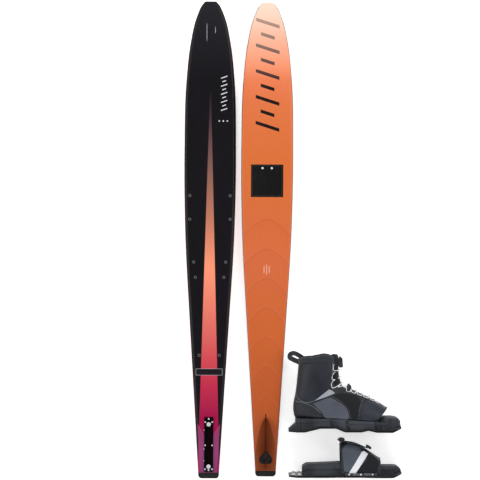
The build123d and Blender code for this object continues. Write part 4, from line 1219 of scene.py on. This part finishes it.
LACE_RADIUS = 1.35
CUFF_EYELET_ASIDE = 31
VAMP_EYELET_ASIDE = 23
CUFF_EYELETS = (12.2, 11.6, 10.6, 9.9, 8.9, 8.3)
VAMP_EYELETS = (4.3, 3.66, 3.02, 2.38, 1.74, 1.1)


def make_laces():
    cords, rings = [], []
    for side in (-1, 1):
        steps = [(12.9, 2 * side, 3.0)]
        here = side
        for upper_one, lower_one in zip(CUFF_EYELETS[0::2], CUFF_EYELETS[1::2]):
            steps += [(upper_one, CUFF_EYELET_ASIDE * here, 0.8), (lower_one, CUFF_EYELET_ASIDE * here, 0.8),
                ((lower_one + upper_one) / 2 - 0.85, 0, 7.5 + side)]
            here = -here
        steps += [(7.2, 21 * here, 1.5), (6.2, 9 * here, 2.5), (5.3, 8 * here, 4)]
        cords.append(tube_along(lace_path(steps, 1.0), LACE_RADIUS, 10))
    lace = make_piece("boot_upper_lace", *join_meshes(cords), LACE, BOOT)
    flexes(lace)
    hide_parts("boot_lace_upper")
    for position in CUFF_EYELETS:
        for side in (-1, 1):
            point = front_surface(position, CUFF_EYELET_ASIDE * side)
            rings.append(torus_mesh(point + np.array([0.4, 0, 1.2 * side]), (0.62, 0.05, 0.78 * side), 2.8,
                1.1))
    eyelets = make_piece("boot_cuff_eyelets", *join_meshes(rings), BLACK_PLASTIC, BOOT)
    flexes(eyelets)
    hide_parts("boot_eyelets_upper")
    cords, rings = [], []
    for side in (-1, 1):
        steps = [(5.2, 8 * side, 4)]
        here = side
        for position in VAMP_EYELETS:
            steps += [(position + along, (VAMP_EYELET_ASIDE - 1) * here, 1.2) for along in (0.12, -0.12)]
            here = -here
        cords.append(tube_along(vamp_path(steps, side), LACE_RADIUS, 10))
        for position in VAMP_EYELETS:
            point = front_surface(position, VAMP_EYELET_ASIDE * side)
            rings.append(torus_mesh(point + np.array([0.5, 1.6, 0.5 * side]), (0.35, 0.85, 0.4 * side), 2.8,
                1.2))
    lace = make_piece("boot_lower_lace", *join_meshes(cords), LACE, BOOT)
    flexes(lace)
    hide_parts("boot_lace_lower")
    eyelets = make_piece("boot_vamp_eyelets", *join_meshes(rings), BLACK_PLASTIC, BOOT)
    flexes(eyelets)
    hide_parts("boot_eyelets_lower")


def vamp_path(steps, side):
    points = []
    for position, half, extra in steps:
        points.append(front_surface(position, half) + np.array([0.43, 0.9, 0]) * (1.6 + extra))
    full = []
    for first, second in zip(points, points[1:]):
        full.append(first)
        if abs(first[2] - second[2]) > 20:
            middle = (first + second) / 2
            crown = front_surface_near(middle)
            full.append(crown + np.array([0.43, 0.9, 0]) * (3.4 + 0.8 * side))
    full.append(points[-1])
    return smooth_path(full, 12 * len(full))


def front_surface_near(point):
    """The ridge point at the same place along the foot."""
    positions = np.linspace(0.5, 6, 60)
    crests = [front_surface(position, 0) for position in positions]
    return min(crests, key=lambda crest: abs(crest[0] - point[0]))


def make_lace_rails():
    """The two moulded strips along the vamp that hold the eyelets."""
    strips = []
    for side in (-1, 1):
        rings = []
        for position in np.linspace(0.55, 5.0, 40):
            point = front_surface(position, VAMP_EYELET_ASIDE * side)
            along = np.array([0.0, 0.0, 1.0 * side])
            up = np.array([0.43, 0.9, 0.0])
            lean = along * 0.9 - up * 0.42
            rings.append([tuple(point + lean * a + up * b) for a, b in
                          ((-5, -1.2), (-4.6, 1.0), (-3, 1.7), (0, 1.9), (3, 1.5), (4.6, 0.6), (5, -1.6))])
        strips.append(loft(rings))
    piece = make_piece("boot_lace_rails", *join_meshes(strips), DARK_SKIN, BOOT)
    flexes(piece)


def ribbon(path, half, thick, lean=0.0):
    """A flat strap along a path in the side view, its face leaning towards the side."""
    points = smooth_path(path, 70)
    slopes = np.gradient(points, axis=0)
    slopes /= np.linalg.norm(slopes, axis=1)[:, None]
    tilt = math.radians(lean)
    rings = []
    for (u, v), (du, dv) in zip(points, slopes):
        ring = []
        for a, b in ((-thick, -half + 0.8), (-thick, half - 0.8), (-0.5 * thick, half), (0.5 * thick, half),
                     (thick, half - 0.8), (thick, -half + 0.8), (0.5 * thick, -half), (-0.5 * thick, -half)):
            out = a * math.cos(tilt) - b * math.sin(tilt)
            ring.append((u - dv * out, v + du * out, a * math.sin(tilt) + b * math.cos(tilt)))
        rings.append(ring)
    return loft(rings)


def make_heel_loop():
    loop = ribbon(((58, 243), (46, 254), (32, 263), (17, 268), (6, 263), (5, 254), (15, 247), (31, 240),
        (44, 235), (56, 235)), 10, 1.3, 52)
    piece = make_piece("boot_pull_loop", *loop, WEBBING, BOOT)
    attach(piece, "heel_loop")
    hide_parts("boot_heel_loop")


def foam_block(stations, soft=3.5, groove=None):
    """A foam part from stations of (u, half width, low v, high v): soft edges, an optional side groove."""
    first, last = stations[0][0], stations[-1][0]
    places = np.concatenate([[first, first + 0.8, first + 2, first + soft],
        np.linspace(first + soft + 2, last - soft - 2, 70),
                             [last - soft, last - 2, last - 0.8, last]])
    rings = []
    for u in places:
        half, low, high = smooth_curve(stations, u)
        near_end = min(1.0, min(u - first, last - u) / soft)
        pull = soft * (1 - math.sqrt(1 - (1 - near_end) ** 2)) * 0.8
        half, high = half - pull, high - pull
        edge = min(soft, 0.45 * (high - low))
        section = [(half - 0.4, low)]
        if groove is not None:
            level = low + groove * (high - low)
            section += [(half, level - 1.6), (half - 1.3, level - 0.5), (half - 1.3, level + 0.5),
                (half, level + 1.6)]
        section += [(half, high - edge), (half - 0.3 * edge, high - 0.3 * edge), (half - edge, high)]
        section += [((half - edge) * share, high + 0.2) for share in (0.6, 0.2)]
        ring = section + [(-w, v) for w, v in reversed(section)]
        rings.append([(u, v, w) for w, v in ring])
    return loft(rings)


def plate_line(u):
    """Height of the boot plate's upper face."""
    stops = ((0, 7), (54, 7), (80, 13), (108, 20), (161, 20), (193, 7), (250, 7), (272, 13), (301, 7),
        (355, 7), (386, 19))
    return float(np.interp(u, *zip(*stops)))


def toe_plate_line(u):
    """Height of the toe plate's upper face."""
    return float(np.interp(u, (0, 355, 386), (7, 7, 19)))


def make_boot_soles():
    places = [24, 32, 40, 60, 80, 94, 108, 120, 140, 161, 177, 193, 210, 230, 250, 261, 272, 286, 301, 320,
        334, 343]
    halves = ((24, 33), (32, 38), (60, 45), (120, 45), (200, 52), (280, 56), (330, 53), (343, 44))
    stations = [(u, float(smooth_curve(halves, u)[0]), plate_line(u) + 0.3,
        float(np.interp(u, (150, 300, 343), (45.5, 35.5, 31)))) for u in places]
    ramp_up = foam_block([(2, 20, 7.3, 9.4), (10, 25, 7.3, 16), (18, 30, 7.3, 23), (27, 34, 7.3, 30)], 2.0)
    sole = make_piece("boot_ribbed_midsole", *join_meshes([foam_block(stations, 3.0, 0.55), ramp_up]), FOAM,
        BOOT)
    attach(sole, "boot")
    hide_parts("boot_midsole")
    low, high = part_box("boot_toe_pad")
    half = (high.z - low.z) / 2 / MM
    front = (high.x - BOOT.translation.x) / MM - 0.2
    blocks = []
    stations = [(319, half - 4, plate_line(319) + 0.4, 24.6), (340, half, 7.4, 24.8), (356, half, 7.5, 24.8),
                (372, half - 4, 14.5, 24.8), (front, half - 16, 19.6, 25)]
    blocks.append(foam_block(stations, 2.5, 0.5))
    stations = [(308, half - 10, 25, 39), (320, half - 8, 25, 45), (327, half - 3, 25, 49),
        (340, half, 25, 49.6), (356, half, 25, 49.4),
                (368, half - 3, 25, 47.6), (378, half - 9, 25.2, 44), (front - 1, half - 17, 26, 38)]
    blocks.append(foam_block(stations, 5.0, 0.55))
    pad = make_piece("boot_front_pad", *join_meshes(blocks), FOAM, BOOT)
    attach(pad, "boot")
    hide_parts("boot_toe_pad")


make_upper()
make_side_panels()
make_collar()
make_tongue()
make_lace_rails()
make_laces()
make_heel_loop()
make_boot_soles()


# ---------- the rear toe plate ----------
OVERLAY_HALF = 56
OVERLAY_LOW = 9.5
OVERLAY_RISE = 107
OVERLAY_BACK = 178
OVERLAY_FRONT = 313


def overlay_ring(u, inset=0.0):
    """One arch of the overlay: foot, side, crown and back down."""
    table = ((177, 114), (190, 116.5), (212, 114.5), (235, 109), (260, 97), (285, 81), (306, 67), (315, 62))
    crown = float(smooth_curve(table, u)[0]) - inset
    half = OVERLAY_HALF - inset
    near = []
    for share in np.linspace(0, 1, 26):
        a = share * math.pi / 2
        w = half * math.cos(a) ** 0.82
        v = OVERLAY_LOW + (crown - OVERLAY_LOW) * math.sin(a) ** 0.86
        near.append((u, v, w))
    return near + [(x, y, -z) for x, y, z in near[-2::-1]]


def overlay_slant(share, inset=0.0):
    """A ring of the overlay, its back edge leaning and its front edge upright."""
    ring = overlay_ring(OVERLAY_BACK + (OVERLAY_FRONT - OVERLAY_BACK) * share, inset)
    lean = 5 * (1 - share)
    return [(u + lean * (1 - (v - OVERLAY_LOW) / OVERLAY_RISE), v, w) for u, v, w in ring]


def overlay_skin(first, last, rows, inset=0.0):
    return loft([overlay_slant(share, inset) for share in np.linspace(first, last, rows)], closed_ring=False,
        capped=False)


OVERLAY_TREE = surface_tree(*overlay_skin(0, 1, 70))


def make_overlay():
    overlay = make_piece("toe_strap", *overlay_skin(0, 1, 60), DARK_SKIN, TOE)
    outward(overlay)
    thicken(overlay, 3.6)
    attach(overlay, "toe_plate")
    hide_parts("toe_overlay")
    liner = make_piece("toe_strap_liner", *overlay_skin(0.0, 1.0, 40, 4.2), NEOPRENE, TOE)
    outward(liner)
    thicken(liner, 4.2)
    inflate(liner, 0.8, voxel=3.0)
    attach(liner, "toe_plate")
    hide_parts("toe_overlay_liner")
    edges = [tube_along(smooth_path(overlay_slant(share, 1.6)[::2], 90), 2.3) for share in (0.0, 1.0)]
    binding = make_piece("toe_edge_binding", *join_meshes(edges), NEOPRENE, TOE)
    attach(binding, "toe_plate")


TOE_PANELS = (
    ("back_panel", TOE_PANEL, 1.1, ((188, 26), (185, 60), (186, 98), (198, 110), (224, 107), (243, 100),
    (249, 90), (232, 58), (206, 20), (196, 18))),
    ("front_panel", MESH_PANEL, 1.0, ((262, 90), (276, 82), (292, 72), (304, 60), (306, 36), (300, 18),
    (262, 17), (236, 17), (252, 44), (270, 66))),
)


def make_toe_panels():
    for side, label in ((1, "near"), (-1, "far")):
        for name, finish, height, outline in TOE_PANELS:
            piece = panel(f"toe_{name}_{label}", OVERLAY_TREE, outline, side, finish, TOE, height)
            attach(piece, "toe_plate")
        band = ((204, 14), (227, 13), (272, 79), (258, 88), (250, 86))
        piece = panel(f"toe_white_band_{label}", OVERLAY_TREE, band, side, WHITE_PRINT, TOE, 1.9,
            straight_path)
        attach(piece, "toe_plate")
        rows = join_meshes([stitch_row(OVERLAY_TREE, path, side) for path in
                            (((190, 22), (189, 64), (191, 104)), ((190, 108), (222, 103), (246, 94)),
                            ((242, 20), (276, 20), (301, 21)),
                             ((303, 26), (303, 58)))])
        piece = make_piece(f"toe_stitches_{label}", *rows, THREAD, TOE)
        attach(piece, "toe_plate")


def make_toe_lace():
    """Lace from the lock to its guide along the crown, and back."""
    cords = []
    for side in (-1, 1):
        path = [(190, 119.5, 3 * side), (203, 117.4, 9 * side), (216, 115.6, 11 * side),
            (232, 111.6, 10 * side), (248, 105, 8 * side),
                (262, 99.2, 6 * side), (272, 95.5, 4 * side)]
        cords.append(tube_along(smooth_path(path, 70), 1.6, 10))
    lace = make_piece("toe_dark_lace", *join_meshes(cords), DARK_LACE, TOE)
    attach(lace, "toe_plate")
    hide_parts("toe_lace")


def make_toe_footbed():
    low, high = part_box("toe_footbed")
    half = (high.z - low.z) / 2 / MM
    first = (low.x - TOE.translation.x) / MM
    last = (high.x - TOE.translation.x) / MM
    places = (first, first + 8, 62, 80, 94, 108, 120, 140, 161, 177, 193, 205, 222, 250, 261, 272, 286, 301,
        320, 345, 360, 372, 380, last)
    tops = ((first, 33), (first + 8, 39), (62, 42.6), (110, 44.5), (183, 47.8), (205, 42.4), (250, 39),
        (305, 36.6), (360, 36.4), (372, 35),
            (380, 30), (last, 25))
    stations = [(u, half - (3 if u < first + 3 else 0) - max(0, u - 364) * 0.6, toe_plate_line(u) + 0.3,
        float(np.interp(u, *zip(*tops)))) for u in places]
    bed = make_piece("toe_foam_footbed", *foam_block(stations, 3.5, 0.45), FOAM, TOE)
    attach(bed, "toe_plate")
    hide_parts("toe_footbed")


make_overlay()
make_toe_panels()
make_toe_lace()
make_toe_footbed()


# ---------- finishes of the machined and moulded parts ----------
def dress(finish, *words):
    """Gives every shown CAD node whose name has one of the words a finish."""
    for name, node in frame["nodes"].items():
        if not node.hide_render and any(word in name for word in words):
            node.data.materials.clear()
            node.data.materials.append(finish)


dress(metal_finish("fin_alloy", srgb(78, 16, 14), srgb(118, 32, 26), 0.42, (40, 1, 1), worn=False), "ski_fin")
dress(moulded_finish("wing_plastic", srgb(8, 8, 9), srgb(18, 18, 20), roughness=0.4, specular=0.15),
    "ski_wing")
dress(coated_fabric_finish("plate_laminate", srgb(13, 14, 16), srgb(25, 26, 30), 0.003, 0.36), "boot_plate",
    "toe_plate")
dress(moulded_finish("lock_body", srgb(24, 25, 28), srgb(50, 52, 57), roughness=0.34), "lock", "lace_guide")
dress(moulded_finish("lock_button", srgb(92, 96, 104), srgb(136, 140, 148), roughness=0.4), "button")
dress(metal_finish("black_anodised_box", srgb(12, 12, 13), srgb(26, 26, 29), 0.4, worn=False), "fin_rail",
    "block", "fin_clamps")
dress(metal_finish("dark_bars", srgb(38, 39, 43), srgb(76, 78, 84), 0.34), "side_bars")
dress(metal_finish("stainless_inserts", srgb(176, 178, 184), srgb(214, 216, 220), 0.26), "inserts")
dress(moulded_finish("nickel_plated_screws", srgb(196, 198, 202), srgb(236, 238, 242), roughness=0.28),
    "screws", "fin_adjusters")


# ---------- floor, light and camera ----------
FLOOR_HALF = 40000
FLOOR_HEIGHT = -0.4
CAMERA_PLACE = (-0.180, -0.002, 6.8)
CAMERA_LENS = 146
WORLD_LIGHT = 0.22


def floor_finish():
    material, tree, shader = start_material("pale_floor", srgb(246, 246, 246), 0.9, specular=0.1)
    coordinates, _ = place_of(tree)
    grain = noise(tree, coordinates, 3.0, 2.0)
    tree.links.new(ramp(tree, grain, [(0.3, srgb(250, 250, 250)), (0.7, srgb(253, 253, 253))]),
        shader.inputs["Base Color"])
    shader.inputs["Emission Color"].default_value = (1, 1, 1, 1)
    shader.inputs["Emission Strength"].default_value = 0.5
    return material


def make_floor():
    signs = ((-1, -1), (1, -1), (1, 1), (-1, 1))
    corners = [(x * FLOOR_HALF, y * FLOOR_HALF, FLOOR_HEIGHT) for x, y in signs]
    make_piece("floor", corners, [(0, 1, 2, 3)], floor_finish())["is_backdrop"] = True


def make_light(name, place, target, size, power):
    light = bpy.data.lights.new(name, "AREA")
    light.shape = "RECTANGLE"
    light.size, light.size_y = size
    light.energy = power
    obj = bpy.data.objects.new(name, light)
    obj.location = place
    obj.rotation_euler = (Vector(target) - Vector(place)).to_track_quat("-Z", "Y").to_euler()
    bpy.context.scene.collection.objects.link(obj)


def make_stage_and_camera():
    low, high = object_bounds()
    middle = (low + high) / 2
    for name, place, size, power in (
        ("light_left", (-3.2, 0.0, 2.6), (2.4, 3.4), 69),
        ("light_right", (3.2, 0.3, 2.6), (2.4, 3.4), 60),
        ("light_far", (0.0, 3.4, 2.8), (3.4, 2.2), 65),
        ("light_near", (0.0, -3.4, 2.8), (3.4, 2.2), 54),
        ("light_overhead", (1.3, 0.9, 3.2), (0.8, 0.8), 12),
    ):
        make_light(name, place, middle, size, power)
    world = bpy.data.worlds.new("studio")
    world.use_nodes = True
    world.node_tree.nodes["Background"].inputs[0].default_value = (1, 1, 1, 1)
    world.node_tree.nodes["Background"].inputs[1].default_value = WORLD_LIGHT
    bpy.context.scene.world = world
    camera = bpy.data.objects.new("camera", bpy.data.cameras.new("camera"))
    camera.data.lens = CAMERA_LENS
    camera.data.sensor_width = 36
    camera.location = CAMERA_PLACE
    camera.data.clip_end = 50
    bpy.context.scene.collection.objects.link(camera)
    bpy.context.scene.camera = camera
    bpy.context.scene.view_settings.view_transform = "Standard"


make_floor()
make_stage_and_camera()
